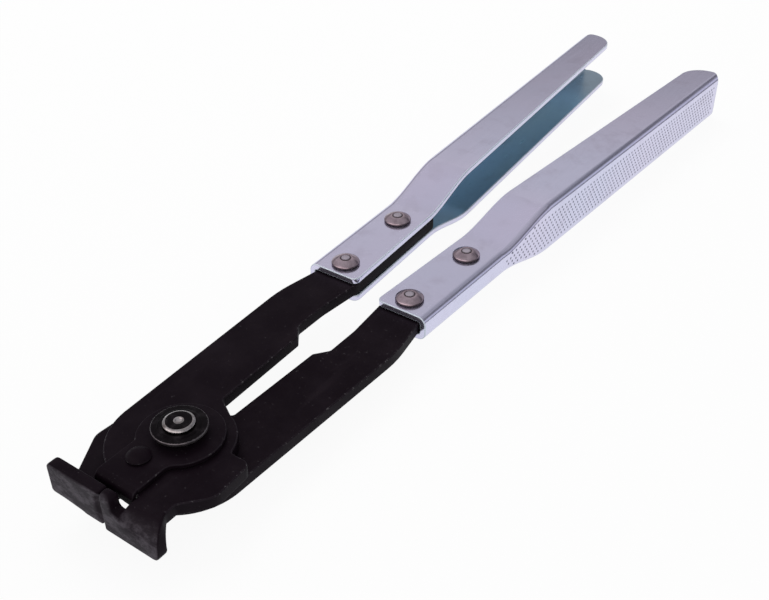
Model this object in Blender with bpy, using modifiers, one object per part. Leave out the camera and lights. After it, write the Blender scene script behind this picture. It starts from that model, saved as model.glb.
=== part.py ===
"""Ear clamp pliers with closed jaws, lying flat. Metres, +Z up.

The world origin is on the table, under the middle of the closed tool. +Y runs from the jaws to the
handles and +X to the right arm. Every piece is made in the pivot's own frame, whose origin is where the
pivot's axis meets the underside of the lower arm, and hangs from the empty that stands there.
"""

import math

import bmesh
import bpy
from mathutils import Matrix, Vector

# Stock, clearances and the overrun that cutters have
PLATE = 0.0035
SHEET = 0.0019
GAP = 0.0003
OVERRUN = 0.002

# Arms, seen from above, for the arm whose handle is at +X
HEAD_RADIUS = 0.0186
HUB_RADIUS = 0.0136
HUB_START_DEG = 108
HUB_END_DEG = 163
ARM_GAP_HALF = 0.0016
THROAT_Y = 0.0163
THROAT_RADIUS = 0.0012
STEP_Y = 0.0472
STEP_X = 0.0024
STEP_LENGTH = 0.004
STEP_RADIUS = 0.001
WAIST_X = 0.0055
WAIST_RADIUS = 0.002
WAIST_END_Y = 0.062
WAIST_EASE = 0.012
SHOULDER_X = 0.0209
SHOULDER_Y = 0.061
SHOULDER_RADIUS = 0.04
TANG_FRONT_Y = 0.0764
TANG_INNER_X = 0.0041
TANG_OUTER_X = 0.0182
TANG_EASE = 0.01
TANG_REAR_Y = 0.121
TANG_REAR_INNER_X = 0.006
TANG_REAR_OUTER_X = 0.0195
TANG_CORNER = 0.002

# Ears on the heads, each on the side away from its own handle
EAR_REAR_Y = 0.0031
EAR_NOTCH_X = 0.0134
EAR_NOTCH_RADIUS = 0.0009
EAR_REAR_RADIUS = 0.0022
EAR_FRONT_RADIUS = 0.005
EAR_NECK_RADIUS = 0.0012
UPPER_EAR_REAR_X = 0.0195
UPPER_EAR_SIDE_X = 0.0203
UPPER_EAR_FRONT_Y = -0.0098
UPPER_NECK_X = 0.0144
UPPER_NECK_Y = -0.0166
LOWER_EAR_REAR_X = 0.0208
LOWER_EAR_SIDE_X = 0.0217
LOWER_EAR_FRONT_Y = -0.0088
LOWER_NECK_X = 0.0156
LOWER_NECK_Y = -0.0197

# Jaws, bent out of the plates
JAW_FRONT_Y = -0.0263
NECK_INNER_X = 0.0055
NECK_ROOT_X = 0.003
NECK_LAP = 0.003
BEND_TIGHT_RADIUS = 0.002
BEND_EASE_WIDTH = 0.009
BEND_INSIDE_LEAST = 0.0004
BEND_STEPS = 8
JAW_COLUMNS = 8
JAW_CORNER = 0.0015
BLADE_LAP = 0.0013
UPPER_BEND_RADIUS = 0.0065
UPPER_JAW_WALL = 0.0034
UPPER_JAW_WIDTH = 0.0173
UPPER_JAW_DEPTH = 0.0086
UPPER_FINGER_HEIGHT = 0.0034
UPPER_FINGER_WIDTH = 0.0034
FINGER_INNER_RADIUS = 0.0008
FINGER_OUTER_RADIUS = 0.0017
NOTCH_FLOOR = 0.0002
LOWER_BEND_RADIUS = 0.0026
LOWER_JAW_WALL = 0.0034
LOWER_JAW_WIDTH = 0.0178
LOWER_JAW_DEPTH = 0.0101
LOWER_BLADE_CHAMFER = 0.0022
BLADE_CORNER = 0.0005
SCOOP_RADIUS = 0.0018
SCOOP_FRONT = 0.0006
SCOOP_END = 0.0022

# Ear presser, riveted to the upper arm
PRESSER_SHEET = 0.0012
PRESSER_RADIUS = 0.011
TONGUE_LEFT_X = 0.0075
TONGUE_RIGHT_X = 0.0054
TONGUE_ROOT_RADIUS = 0.003
LIP_FRONT_Y = -0.0211
LIP_RIGHT_X = 0.0052
LIP_DEPTH = 0.0041
LIP_BEND_RADIUS = 0.0022
LIP_CORNER = 0.0008
LIP_LAP = 0.001
PRESSER_RIVET_X = -0.0022
PRESSER_RIVET_Y = -0.0116
PRESSER_RIVET_HEAD_RADIUS = 0.0031
PRESSER_RIVET_HEAD_HEIGHT = 0.0019
PRESSER_RIVET_SHANK_RADIUS = 0.0019
PRESSER_RIVET_SINK_RADIUS = 0.0029
PRESSER_RIVET_SINK_DEPTH = 0.001

# Pivot stack
PIVOT_SHANK_RADIUS = 0.0032
PIVOT_HEAD_RADIUS = 0.004
PIVOT_HEAD_TOP_RADIUS = 0.0033
PIVOT_HEAD_HEIGHT = 0.0008
PIVOT_DIMPLE_RADIUS = 0.00145
PIVOT_DIMPLE_DEPTH = 0.0004
PIVOT_FOOT_RADIUS = 0.0065
PIVOT_FOOT_HEIGHT = 0.0018
PIVOT_FOOT_CHAMFER = 0.0005
SPACER_RADIUS = 0.0052
SPACER_HEIGHT = 0.0013
WASHER_RADIUS = 0.007
WASHER_HEIGHT = 0.001
WASHER_EDGE = 0.0003
COLLAR_RADIUS = 0.0051
COLLAR_HEIGHT = 0.0002

# Handles: folded sheet channels that clasp the tangs
HANDLE_FRONT_Y = 0.0752
HANDLE_END_Y = 0.2736
FOLD_RADIUS = 0.0027
FLARE_START_Y = 0.117
FLARE_END_Y = 0.144
FLARE_STEPS = 10
GRIP_HEIGHT = 0.0178
WEB_FRONT_X = 0.0207
WEB_FLARE_START_X = 0.0221
WEB_FLARE_END_X = 0.0236
WEB_END_X = 0.0303
FLANGE_FRONT_X = 0.0036
FLANGE_FLARE_START_X = 0.0058
FLANGE_FLARE_END_X = 0.0075
FLANGE_END_X = 0.0174
FLANGE_EASE = 0.06
HANDLE_FRONT_CORNER = 0.002
HANDLE_END_INNER_CORNER = 0.0092
HANDLE_END_OUTER_CORNER = 0.0025
HANDLE_END_CHAMFER = 0.0028
FOLD_STEPS = 5

# Handle rivets
FRONT_RIVET_X = 0.0115
FRONT_RIVET_Y = 0.0808
REAR_RIVET_X = 0.0128
REAR_RIVET_Y = 0.1095
RIVET_SHANK_RADIUS = 0.0022
RIVET_HEAD_RADIUS = 0.0042
RIVET_HEAD_HEIGHT = 0.002
RIVET_HEAD_RIM = 0.0005
RIVET_TAIL_RADIUS = 0.0038
RIVET_TAIL_HEIGHT = 0.0015

# Facets
ARC_STEP_DEG = 9
TURN_STEPS = 32
SMALL_TURN_STEPS = 20
DOME_STEPS = 4
MERGE = 0.00001
SMOOTH_DEG = 35

# Heights in the pivot's frame, from the stock
UPPER_BOTTOM = PLATE + GAP
UPPER_TOP = UPPER_BOTTOM + PLATE
PRESSER_TOP = UPPER_TOP + GAP + PRESSER_SHEET
SPACER_BOTTOM = PRESSER_TOP + GAP
WASHER_BOTTOM = SPACER_BOTTOM + SPACER_HEIGHT + GAP
HEAD_BOTTOM = WASHER_BOTTOM + WASHER_HEIGHT + COLLAR_HEIGHT + GAP
CHANNEL_HEIGHT = PLATE + 2 * GAP + 2 * SHEET

# The pivot's frame in the world
PIVOT_Y = -(JAW_FRONT_Y + HANDLE_END_Y) / 2
PIVOT_Z = GRIP_HEIGHT / 2 - PLATE / 2

BLACK_OXIDE = ("black_oxide", (0.012, 0.009, 0.012), 0.5, 0.6)
DARK_STEEL = ("dark_steel", (0.02, 0.015, 0.015), 0.4, 0.8)
BRIGHT_STEEL = ("bright_steel", (0.35, 0.33, 0.33), 0.3, 1.0)
RIVET_STEEL = ("rivet_steel", (0.25, 0.22, 0.21), 0.3, 1.0)
ZINC_PLATE = ("zinc_plate", (0.55, 0.54, 0.6), 0.35, 0.9)


def clear_scene():
    """Removes the startup objects."""
    for obj in list(bpy.data.objects):
        bpy.data.objects.remove(obj, do_unlink=True)


def new_collection(name):
    """A collection under the scene's own."""
    collection = bpy.data.collections.new(name)
    bpy.context.scene.collection.children.link(collection)
    return collection


def finish_material(finish):
    """The Principled material of a finish, made once."""
    name, colour, roughness, metallic = finish
    found = bpy.data.materials.get(name)
    if found:
        return found
    made = bpy.data.materials.new(name)
    made.use_nodes = True
    shader = made.node_tree.nodes["Principled BSDF"]
    shader.inputs["Base Color"].default_value = (*colour, 1)
    shader.inputs["Roughness"].default_value = roughness
    shader.inputs["Metallic"].default_value = metallic
    made.diffuse_color = (*colour, 1)
    return made


def arc(centre, radius, start_deg, end_deg):
    """Points of an arc, one every ARC_STEP_DEG or less, with both ends."""
    steps = max(2, math.ceil(abs(end_deg - start_deg) / ARC_STEP_DEG))
    angles = [math.radians(start_deg + (end_deg - start_deg) * i / steps) for i in range(steps + 1)]
    return [(centre[0] + radius * math.cos(a), centre[1] + radius * math.sin(a)) for a in angles]


def rounded(corners):
    """An outline from (x, y, radius) corners. A corner with a radius becomes an arc tangent to its sides."""
    points = []
    for i, (x, y, radius) in enumerate(corners):
        corner = Vector((x, y))
        if not radius:
            points.append((x, y))
            continue
        to_last = (Vector(corners[i - 1][:2]) - corner)
        to_next = (Vector(corners[(i + 1) % len(corners)][:2]) - corner)
        half = to_last.angle(to_next) / 2
        reach = min(radius / math.tan(half), to_last.length, to_next.length)
        fitted = reach * math.tan(half)
        middle = (to_last.normalized() + to_next.normalized()).normalized()
        centre = corner + middle * (fitted / math.sin(half))
        start = corner + to_last.normalized() * reach - centre
        end = corner + to_next.normalized() * reach - centre
        turn = start.angle_signed(end)
        steps = max(2, math.ceil(abs(math.degrees(turn)) / ARC_STEP_DEG))
        for k in range(steps + 1):
            a = -turn * k / steps
            spoke = Vector((start.x * math.cos(a) - start.y * math.sin(a),
                            start.x * math.sin(a) + start.y * math.cos(a)))
            points.append(tuple(centre + spoke))
    return points


def mirrored(points):
    """The outline mirrored in the tool's middle plane, in the same turning sense."""
    return [(-x, y) for x, y in reversed(points)]


def new_object(name, mesh, collection):
    """An object of the mesh, linked to the collection."""
    obj = bpy.data.objects.new(name, mesh)
    collection.objects.link(obj)
    return obj


def face_outward(shape):
    """Turns every face of a closed bmesh outward."""
    bmesh.ops.recalc_face_normals(shape, faces=shape.faces)
    if shape.calc_volume(signed=True) < 0:
        bmesh.ops.reverse_faces(shape, faces=shape.faces)


def prism(name, outline, low, high, collection):
    """A flat outline in XY, extruded from height low to height high, as a closed mesh."""
    curve = bpy.data.curves.new(name, "CURVE")
    curve.dimensions = "2D"
    curve.fill_mode = "BOTH"
    curve.extrude = (high - low) / 2
    spline = curve.splines.new("POLY")
    spline.points.add(len(outline) - 1)
    for point, (x, y) in zip(spline.points, outline):
        point.co = (x, y, 0, 1)
    spline.use_cyclic_u = True
    drawn = new_object(name + "_curve", curve, collection)
    bpy.context.view_layer.update()
    evaluated = drawn.evaluated_get(bpy.context.evaluated_depsgraph_get())
    mesh = bpy.data.meshes.new_from_object(evaluated)
    bpy.data.objects.remove(drawn, do_unlink=True)
    shape = bmesh.new()
    shape.from_mesh(mesh)
    bmesh.ops.translate(shape, verts=shape.verts, vec=(0, 0, (low + high) / 2))
    bmesh.ops.remove_doubles(shape, verts=shape.verts, dist=MERGE)
    face_outward(shape)
    shape.to_mesh(mesh)
    shape.free()
    mesh.name = name
    return new_object(name, mesh, collection)


def front_prism(name, outline, near, far, collection):
    """A flat outline of (x, z) points, extruded along Y from near to far."""
    made = prism(name, outline, -far, -near, collection)
    shape = bmesh.new()
    shape.from_mesh(made.data)
    for vert in shape.verts:
        vert.co = (vert.co.x, -vert.co.z, vert.co.y)
    shape.to_mesh(made.data)
    shape.free()
    return made


def side_prism(name, outline, near, far, collection):
    """A flat outline of (y, z) points, extruded along X from near to far."""
    made = prism(name, outline, near, far, collection)
    made.data.transform(Matrix(((0, 0, 1, 0), (1, 0, 0, 0), (0, 1, 0, 0), (0, 0, 0, 1))))
    return made


def grid_solid(name, sheets, collection):
    """A closed solid between two like grids of points, sheets[0] and sheets[1], each a list of rows."""
    shape = bmesh.new()
    grids = [[[shape.verts.new(point) for point in row] for row in sheet] for sheet in sheets]
    rows, columns = len(grids[0]), len(grids[0][0])
    for grid in grids:
        for r in range(rows - 1):
            for c in range(columns - 1):
                shape.faces.new((grid[r][c], grid[r][c + 1], grid[r + 1][c + 1], grid[r + 1][c]))
    first, second = grids
    for r in range(rows - 1):
        for c in (0, columns - 1):
            shape.faces.new((first[r][c], first[r + 1][c], second[r + 1][c], second[r][c]))
    for c in range(columns - 1):
        for r in (0, rows - 1):
            shape.faces.new((first[r][c], first[r][c + 1], second[r][c + 1], second[r][c]))
    bmesh.ops.recalc_face_normals(shape, faces=shape.faces)
    mesh = bpy.data.meshes.new(name)
    shape.to_mesh(mesh)
    shape.free()
    return new_object(name, mesh, collection)


def turned(name, profile, steps, collection):
    """A turned solid: (radius, z) points that start at the top and run down the outer side.

    A profile that starts on the axis ends on it, and any other is the closed section of a ring.
    """
    mesh = bpy.data.meshes.new(name)
    ends = [(i, i + 1) for i in range(len(profile) - 1)]
    if profile[0][0]:
        ends.append((len(profile) - 1, 0))
    mesh.from_pydata([(r, 0, z) for r, z in profile], ends, [])
    obj = new_object(name, mesh, collection)
    screw = obj.modifiers.new("turn", "SCREW")
    screw.steps = steps
    screw.render_steps = steps
    screw.use_merge_vertices = True
    screw.merge_threshold = MERGE
    screw.use_smooth_shade = True
    return obj


def cutter(obj):
    """Marks an object as a helper that isn't a piece."""
    obj.hide_render = True
    obj.display_type = "WIRE"
    return obj


def combine(target, other, operation):
    """Adds an exact Boolean of the target with a helper object."""
    step = target.modifiers.new(f"{operation.lower()}_{other.name}", "BOOLEAN")
    step.operation = operation
    step.solver = "EXACT"
    step.object = cutter(other)


def round_hole(target, name, x, y, radius, low, high, steps, cutters):
    """Cuts a round hole along Z, from height low to height high."""
    rod = turned(name, [(0, high), (radius, high), (radius, low), (0, low)], steps, cutters)
    rod.location = (x, y, 0)
    combine(target, rod, "DIFFERENCE")


def smooth(mesh):
    """Smooth shading, with edges sharper than SMOOTH_DEG kept."""
    mesh.shade_smooth()
    mesh.set_sharp_from_angle(angle=math.radians(SMOOTH_DEG))


def dome(radius, height, rim, base, up):
    """(radius, z) points of a domed head, crown to rim, above base if up is 1 and below it if -1."""
    rise = height - rim
    ball = (radius ** 2 + rise ** 2) / (2 * rise)
    spread = math.asin(radius / ball)
    points = []
    for i in range(DOME_STEPS + 1):
        a = spread * i / DOME_STEPS
        points.append((ball * math.sin(a), base + up * (rim + rise - ball + ball * math.cos(a))))
    return points


def arm_outline(ear_rear_x, ear_side_x, ear_front_y, neck_x, neck_y, neck_end_y):
    """The flat blank of an arm with its handle at +X, counterclockwise, down to the neck of its jaw."""
    hub = arc((0, 0), HUB_RADIUS, HUB_START_DEG, HUB_END_DEG)
    head_start_deg = math.degrees(math.atan2(-math.sqrt(HEAD_RADIUS ** 2 - NECK_ROOT_X ** 2), -NECK_ROOT_X))
    head = arc((0, 0), HEAD_RADIUS, head_start_deg, 0)
    back = rounded([
        (HEAD_RADIUS, 0, 0),
        (SHOULDER_X, SHOULDER_Y, SHOULDER_RADIUS),
        (TANG_OUTER_X, TANG_FRONT_Y, TANG_EASE),
        (TANG_REAR_OUTER_X, TANG_REAR_Y, TANG_CORNER),
        (TANG_REAR_INNER_X, TANG_REAR_Y, TANG_CORNER),
        (TANG_INNER_X, TANG_FRONT_Y, TANG_EASE),
        (WAIST_X, WAIST_END_Y, WAIST_EASE),
        (WAIST_X, STEP_Y + STEP_LENGTH, WAIST_RADIUS),
        (STEP_X, STEP_Y, STEP_RADIUS),
        (ARM_GAP_HALF, THROAT_Y, THROAT_RADIUS),
        (*hub[0], 0),
    ])
    ear = rounded([
        (*hub[-1], 0),
        (-EAR_NOTCH_X, EAR_REAR_Y, EAR_NOTCH_RADIUS),
        (-ear_rear_x, EAR_REAR_Y, EAR_REAR_RADIUS),
        (-ear_side_x, ear_front_y, EAR_FRONT_RADIUS),
        (-neck_x, neck_y, EAR_NECK_RADIUS),
        (-neck_x, neck_end_y, 0),
        (-NECK_INNER_X, neck_end_y, 0),
    ])
    return back + hub[1:-1] + ear + head[:-1]


def bend_radius(widest):
    """The outer bend radius by distance x from the mating plane: tight beside the blade, wide beyond it."""
    def at(x):
        share = min(max((x - NECK_INNER_X) / BEND_EASE_WIDTH, 0), 1)
        return BEND_TIGHT_RADIUS + (widest - BEND_TIGHT_RADIUS) * share * share * (3 - 2 * share)
    return at


def bent_strip(name, frame, left, rights, radius_at, stock, wall, front_y, depth, corner, lap, collection):
    """A strip bent square off a plate: flat at its root, round the bend, then a wall to its free edge.

    frame is (side, face, down): the side of the tool, the height of the plate's outer face and the way that
    depth runs from it. left is the strip's inner edge, and rights(turn, depth) its outer edge.
    """
    side, face, down = frame
    outer, inner = [], []

    def add(sheet, turn, points):
        deep = points(left)[1]
        right = rights(turn, deep)
        row = []
        for c in range(JAW_COLUMNS + 1):
            x = left + (right - left) * c / JAW_COLUMNS
            y, d = points(x)
            row.append((side * x, y, face + down * d))
        sheet.append(row)

    def inside(x):
        return max(radius_at(x) - stock, BEND_INSIDE_LEAST)

    flat_y = front_y + max(radius_at(left), radius_at(rights(0, 0)))
    add(outer, 0, lambda x: (flat_y + lap, 0))
    add(inner, 0, lambda x: (flat_y + lap, stock))
    for i in range(BEND_STEPS + 1):
        turn = math.pi / 2 * i / BEND_STEPS
        add(outer, turn, lambda x: (front_y + radius_at(x) * (1 - math.sin(turn)),
                                    radius_at(x) * (1 - math.cos(turn))))
        add(inner, turn, lambda x: (front_y + wall + inside(x) * (1 - math.sin(turn)),
                                    stock + inside(x) * (1 - math.cos(turn))))
    for i in range(BEND_STEPS // 2 + 1):
        turn = math.pi / 2 * i / (BEND_STEPS // 2)
        deep = depth - corner * (1 - math.sin(turn))
        add(outer, math.pi / 2, lambda x: (front_y, deep))
        add(inner, math.pi / 2, lambda x: (front_y + wall, deep))
    return grid_solid(name, (outer, inner), collection)


def strip_edge(root, width, depth, corner):
    """The outer edge of a bent strip: its root's side, flared round the bend to its width, corner rounded."""
    def edge(turn, deep):
        flared = root + (width - root) * math.sin(turn)
        over = max(deep - (depth - corner), 0)
        return flared - (corner - math.sqrt(max(corner ** 2 - over ** 2, 0)))
    return edge


def upper_blade_outline():
    """The front view of the upper arm's blade: finger, notch and the lap into the bent strip. (x, depth)."""
    notch_radius = (NECK_INNER_X - UPPER_FINGER_WIDTH) / 2
    return rounded([
        (GAP / 2, UPPER_JAW_DEPTH, 0),
        (GAP / 2, -UPPER_FINGER_HEIGHT, FINGER_INNER_RADIUS),
        (UPPER_FINGER_WIDTH, -UPPER_FINGER_HEIGHT, FINGER_OUTER_RADIUS),
        (UPPER_FINGER_WIDTH, NOTCH_FLOOR, notch_radius),
        (NECK_INNER_X, NOTCH_FLOOR, 0),
        (NECK_INNER_X + BLADE_LAP, UPPER_BEND_RADIUS / 2, 0),
        (NECK_INNER_X + BLADE_LAP, UPPER_JAW_DEPTH, 0),
    ])


def finger_crown_outline():
    """(y, z) points of the cutter that rounds the finger's top over from its front to its back."""
    top = UPPER_TOP + UPPER_FINGER_HEIGHT
    radius = UPPER_JAW_WALL / 2
    return arc((JAW_FRONT_Y + radius, top - radius), radius, 0, 180) + [
        (JAW_FRONT_Y - OVERRUN, top - radius),
        (JAW_FRONT_Y - OVERRUN, top + OVERRUN),
        (JAW_FRONT_Y + UPPER_JAW_WALL + OVERRUN, top + OVERRUN),
        (JAW_FRONT_Y + UPPER_JAW_WALL + OVERRUN, top - radius),
    ]


def lower_blade_outline():
    """The front view of the lower arm's blade. (x, depth)."""
    return rounded([
        (GAP / 2, LOWER_JAW_DEPTH, BLADE_CORNER),
        (GAP / 2, 0, BLADE_CORNER),
        (NECK_INNER_X - BLADE_LAP, 0, BLADE_CORNER),
        (NECK_INNER_X + BLADE_LAP, LOWER_BLADE_CHAMFER, 0),
        (NECK_INNER_X + BLADE_LAP, LOWER_JAW_DEPTH, 0),
    ])


def add_jaw(arm, name, frame, neck, widest, wall, width, depth, blade_outline, cutters):
    """Joins the bent strip and the blade beside the mating plane to an arm's plate."""
    side, face, down = frame
    edge = strip_edge(neck, width, depth, JAW_CORNER)
    strip = bent_strip(name + "_strip", frame, NECK_INNER_X, edge, bend_radius(widest), PLATE, wall,
                       JAW_FRONT_Y, depth, JAW_CORNER, NECK_LAP, cutters)
    combine(arm, strip, "UNION")
    outline = [(side * x, face + down * d) for x, d in blade_outline]
    blade = front_prism(name + "_blade", outline, JAW_FRONT_Y, JAW_FRONT_Y + wall, cutters)
    combine(arm, blade, "UNION")


def tang_holes(arm, side, bottom, cutters):
    """Drills the pivot's bore and the two handle rivet holes through an arm."""
    low, high = bottom - OVERRUN, bottom + PLATE + OVERRUN
    round_hole(arm, arm.name + "_bore", 0, 0, PIVOT_SHANK_RADIUS + GAP, low, high, TURN_STEPS, cutters)
    for label, x, y in (("front", FRONT_RIVET_X, FRONT_RIVET_Y), ("rear", REAR_RIVET_X, REAR_RIVET_Y)):
        round_hole(arm, f"{arm.name}_{label}_hole", side * x, y, RIVET_SHANK_RADIUS + GAP, low, high,
                   SMALL_TURN_STEPS, cutters)


def make_lower_arm(parts, cutters):
    """The lower arm: right handle side, left ear, left jaw bent up."""
    outline = arm_outline(LOWER_EAR_REAR_X, LOWER_EAR_SIDE_X, LOWER_EAR_FRONT_Y, LOWER_NECK_X, LOWER_NECK_Y,
                          JAW_FRONT_Y + LOWER_BEND_RADIUS)
    arm = prism("lower_jaw_arm", outline, 0, PLATE, parts)
    add_jaw(arm, "lower_jaw", (-1, 0, 1), LOWER_NECK_X, LOWER_BEND_RADIUS, LOWER_JAW_WALL, LOWER_JAW_WIDTH,
            LOWER_JAW_DEPTH, lower_blade_outline(), cutters)
    scoop = turned("lower_jaw_scoop", scoop_profile(), SMALL_TURN_STEPS, cutters)
    scoop.location = (0, JAW_FRONT_Y - SCOOP_FRONT, 0)
    combine(arm, scoop, "DIFFERENCE")
    tang_holes(arm, 1, 0, cutters)
    return arm


def scoop_profile():
    """(radius, z) points of the hollow in the lower jaw's mating end, which closes at its tip and crown."""
    high, low = LOWER_JAW_DEPTH, 0
    rounds = []
    for i in range(DOME_STEPS + 1):
        turn = math.pi / 2 * i / DOME_STEPS
        rounds.append((SCOOP_RADIUS * math.sin(turn), SCOOP_END * math.cos(turn)))
    top = [(r, high - SCOOP_END + z) for r, z in rounds]
    bottom = [(r, low + SCOOP_END - z) for r, z in reversed(rounds)]
    return top + bottom


def make_upper_arm(parts, cutters):
    """The upper arm: left handle side, right ear, right jaw bent down."""
    outline = mirrored(arm_outline(UPPER_EAR_REAR_X, UPPER_EAR_SIDE_X, UPPER_EAR_FRONT_Y, UPPER_NECK_X,
                                   UPPER_NECK_Y, JAW_FRONT_Y + UPPER_BEND_RADIUS))
    arm = prism("upper_jaw_arm", outline, UPPER_BOTTOM, UPPER_TOP, parts)
    add_jaw(arm, "upper_jaw", (1, UPPER_TOP, -1), UPPER_NECK_X, UPPER_BEND_RADIUS, UPPER_JAW_WALL,
            UPPER_JAW_WIDTH, UPPER_JAW_DEPTH, upper_blade_outline(), cutters)
    crown = side_prism("finger_crown", finger_crown_outline(), -OVERRUN, UPPER_FINGER_WIDTH + GAP, cutters)
    combine(arm, crown, "DIFFERENCE")
    tang_holes(arm, -1, UPPER_BOTTOM, cutters)
    sink = turned("presser_rivet_sink", presser_rivet_hole(), SMALL_TURN_STEPS, cutters)
    sink.location = (PRESSER_RIVET_X, PRESSER_RIVET_Y, 0)
    combine(arm, sink, "DIFFERENCE")
    return arm


def presser_rivet_hole():
    """(radius, z) points of the countersunk hole for the presser's rivet, with clearance."""
    shank = PRESSER_RIVET_SHANK_RADIUS + GAP
    sink = PRESSER_RIVET_SINK_RADIUS + GAP
    return [
        (0, UPPER_TOP + OVERRUN),
        (shank, UPPER_TOP + OVERRUN),
        (shank, UPPER_BOTTOM + PRESSER_RIVET_SINK_DEPTH + GAP),
        (sink, UPPER_BOTTOM),
        (sink, UPPER_BOTTOM - GAP / 2),
        (0, UPPER_BOTTOM - GAP / 2),
    ]


def make_presser(parts, cutters):
    """The ear presser: a ring under the pivot's washer and a tongue with a lip bent down behind the jaws."""
    bottom = UPPER_TOP + GAP
    tongue_end = LIP_FRONT_Y + LIP_BEND_RADIUS
    left_deg = math.degrees(math.atan2(-math.sqrt(PRESSER_RADIUS ** 2 - TONGUE_LEFT_X ** 2), -TONGUE_LEFT_X))
    start_deg = left_deg + 360
    right_y = -math.sqrt(PRESSER_RADIUS ** 2 - TONGUE_RIGHT_X ** 2)
    right_deg = math.degrees(math.atan2(right_y, TONGUE_RIGHT_X))
    flare_deg = math.degrees(TONGUE_ROOT_RADIUS / PRESSER_RADIUS)
    ring = arc((0, 0), PRESSER_RADIUS, right_deg + flare_deg, start_deg)
    tongue = rounded([
        (*ring[-1], 0),
        (-TONGUE_LEFT_X, tongue_end, 0),
        (TONGUE_RIGHT_X, tongue_end, 0),
        (TONGUE_RIGHT_X, right_y, TONGUE_ROOT_RADIUS),
        (*ring[0], 0),
    ])
    presser = prism("ear_presser", ring[1:-1] + tongue, bottom, PRESSER_TOP, parts)
    middle = (LIP_RIGHT_X - TONGUE_LEFT_X) / 2
    half = (LIP_RIGHT_X + TONGUE_LEFT_X) / 2
    edge = strip_edge(half, half, LIP_DEPTH, LIP_CORNER)
    lip = bent_strip("presser_lip", (1, PRESSER_TOP, -1), -half, edge, lambda x: LIP_BEND_RADIUS,
                     PRESSER_SHEET, PRESSER_SHEET, LIP_FRONT_Y, LIP_DEPTH, LIP_CORNER, LIP_LAP, cutters)
    lip.location.x = middle
    combine(presser, lip, "UNION")
    low, high = bottom - OVERRUN, PRESSER_TOP + OVERRUN
    round_hole(presser, "presser_bore", 0, 0, PIVOT_SHANK_RADIUS + GAP, low, high, TURN_STEPS, cutters)
    round_hole(presser, "presser_rivet_bore", PRESSER_RIVET_X, PRESSER_RIVET_Y,
               PRESSER_RIVET_SHANK_RADIUS + GAP, low, high, SMALL_TURN_STEPS, cutters)
    return presser


def make_presser_rivet(parts):
    """The domed rivet of the presser, with its tail countersunk flush in the upper arm."""
    crown = dome(PRESSER_RIVET_HEAD_RADIUS, PRESSER_RIVET_HEAD_HEIGHT, GAP, PRESSER_TOP + GAP, 1)
    profile = crown + [
        (PRESSER_RIVET_HEAD_RADIUS, PRESSER_TOP + GAP),
        (PRESSER_RIVET_SHANK_RADIUS, PRESSER_TOP + GAP),
        (PRESSER_RIVET_SHANK_RADIUS, UPPER_BOTTOM + PRESSER_RIVET_SINK_DEPTH),
        (PRESSER_RIVET_SINK_RADIUS, UPPER_BOTTOM + GAP / 2),
        (0, UPPER_BOTTOM + GAP / 2),
    ]
    rivet = turned("presser_rivet", profile, SMALL_TURN_STEPS, parts)
    rivet.location = (PRESSER_RIVET_X, PRESSER_RIVET_Y, 0)
    return rivet


def make_pivot_rivet(parts):
    """The pivot: foot under the lower arm, shank through the stack, peened head with a centre dimple."""
    top = HEAD_BOTTOM + PIVOT_HEAD_HEIGHT
    profile = [
        (0, top - PIVOT_DIMPLE_DEPTH),
        (PIVOT_DIMPLE_RADIUS / 2, top - PIVOT_DIMPLE_DEPTH),
        (PIVOT_DIMPLE_RADIUS, top),
        (PIVOT_HEAD_TOP_RADIUS, top),
        (PIVOT_HEAD_RADIUS, top - PIVOT_HEAD_HEIGHT / 2),
        (PIVOT_HEAD_RADIUS, HEAD_BOTTOM),
        (PIVOT_SHANK_RADIUS, HEAD_BOTTOM),
        (PIVOT_SHANK_RADIUS, -GAP),
        (PIVOT_FOOT_RADIUS, -GAP),
        (PIVOT_FOOT_RADIUS, PIVOT_FOOT_CHAMFER - GAP - PIVOT_FOOT_HEIGHT),
        (PIVOT_FOOT_RADIUS - PIVOT_FOOT_CHAMFER, -GAP - PIVOT_FOOT_HEIGHT),
        (0, -GAP - PIVOT_FOOT_HEIGHT),
    ]
    return turned("pivot_rivet", profile, TURN_STEPS, parts)


def make_spacer(parts):
    """The ring that lifts the washer off the presser."""
    bore = PIVOT_SHANK_RADIUS + GAP
    top = SPACER_BOTTOM + SPACER_HEIGHT
    profile = [(bore, top), (SPACER_RADIUS, top), (SPACER_RADIUS, SPACER_BOTTOM), (bore, SPACER_BOTTOM)]
    return turned("pivot_spacer", profile, TURN_STEPS, parts)


def make_washer(parts):
    """The wide washer with a raised collar round its bore."""
    bore = PIVOT_SHANK_RADIUS + GAP
    top = WASHER_BOTTOM + WASHER_HEIGHT
    profile = [
        (bore, top + COLLAR_HEIGHT),
        (COLLAR_RADIUS, top + COLLAR_HEIGHT),
        (COLLAR_RADIUS + COLLAR_HEIGHT, top),
        (WASHER_RADIUS - WASHER_EDGE, top),
        (WASHER_RADIUS, top - WASHER_EDGE),
        (WASHER_RADIUS, WASHER_BOTTOM + WASHER_EDGE),
        (WASHER_RADIUS - WASHER_EDGE, WASHER_BOTTOM),
        (bore, WASHER_BOTTOM),
    ]
    return turned("pivot_washer", profile, TURN_STEPS, parts)


def along(y, places):
    """The value at y on straight runs between (y, value) places, carried on past both ends."""
    for (y0, v0), (y1, v1) in zip(places, places[1:]):
        if y <= y1:
            break
    return v0 + (v1 - v0) * (y - y0) / (y1 - y0)


def flare(y):
    """How far the channel has opened at y, from 0 on the tang to 1 on the grip."""
    share = min(max((y - FLARE_START_Y) / (FLARE_END_Y - FLARE_START_Y), 0), 1)
    return share * share * (3 - 2 * share)


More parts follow.
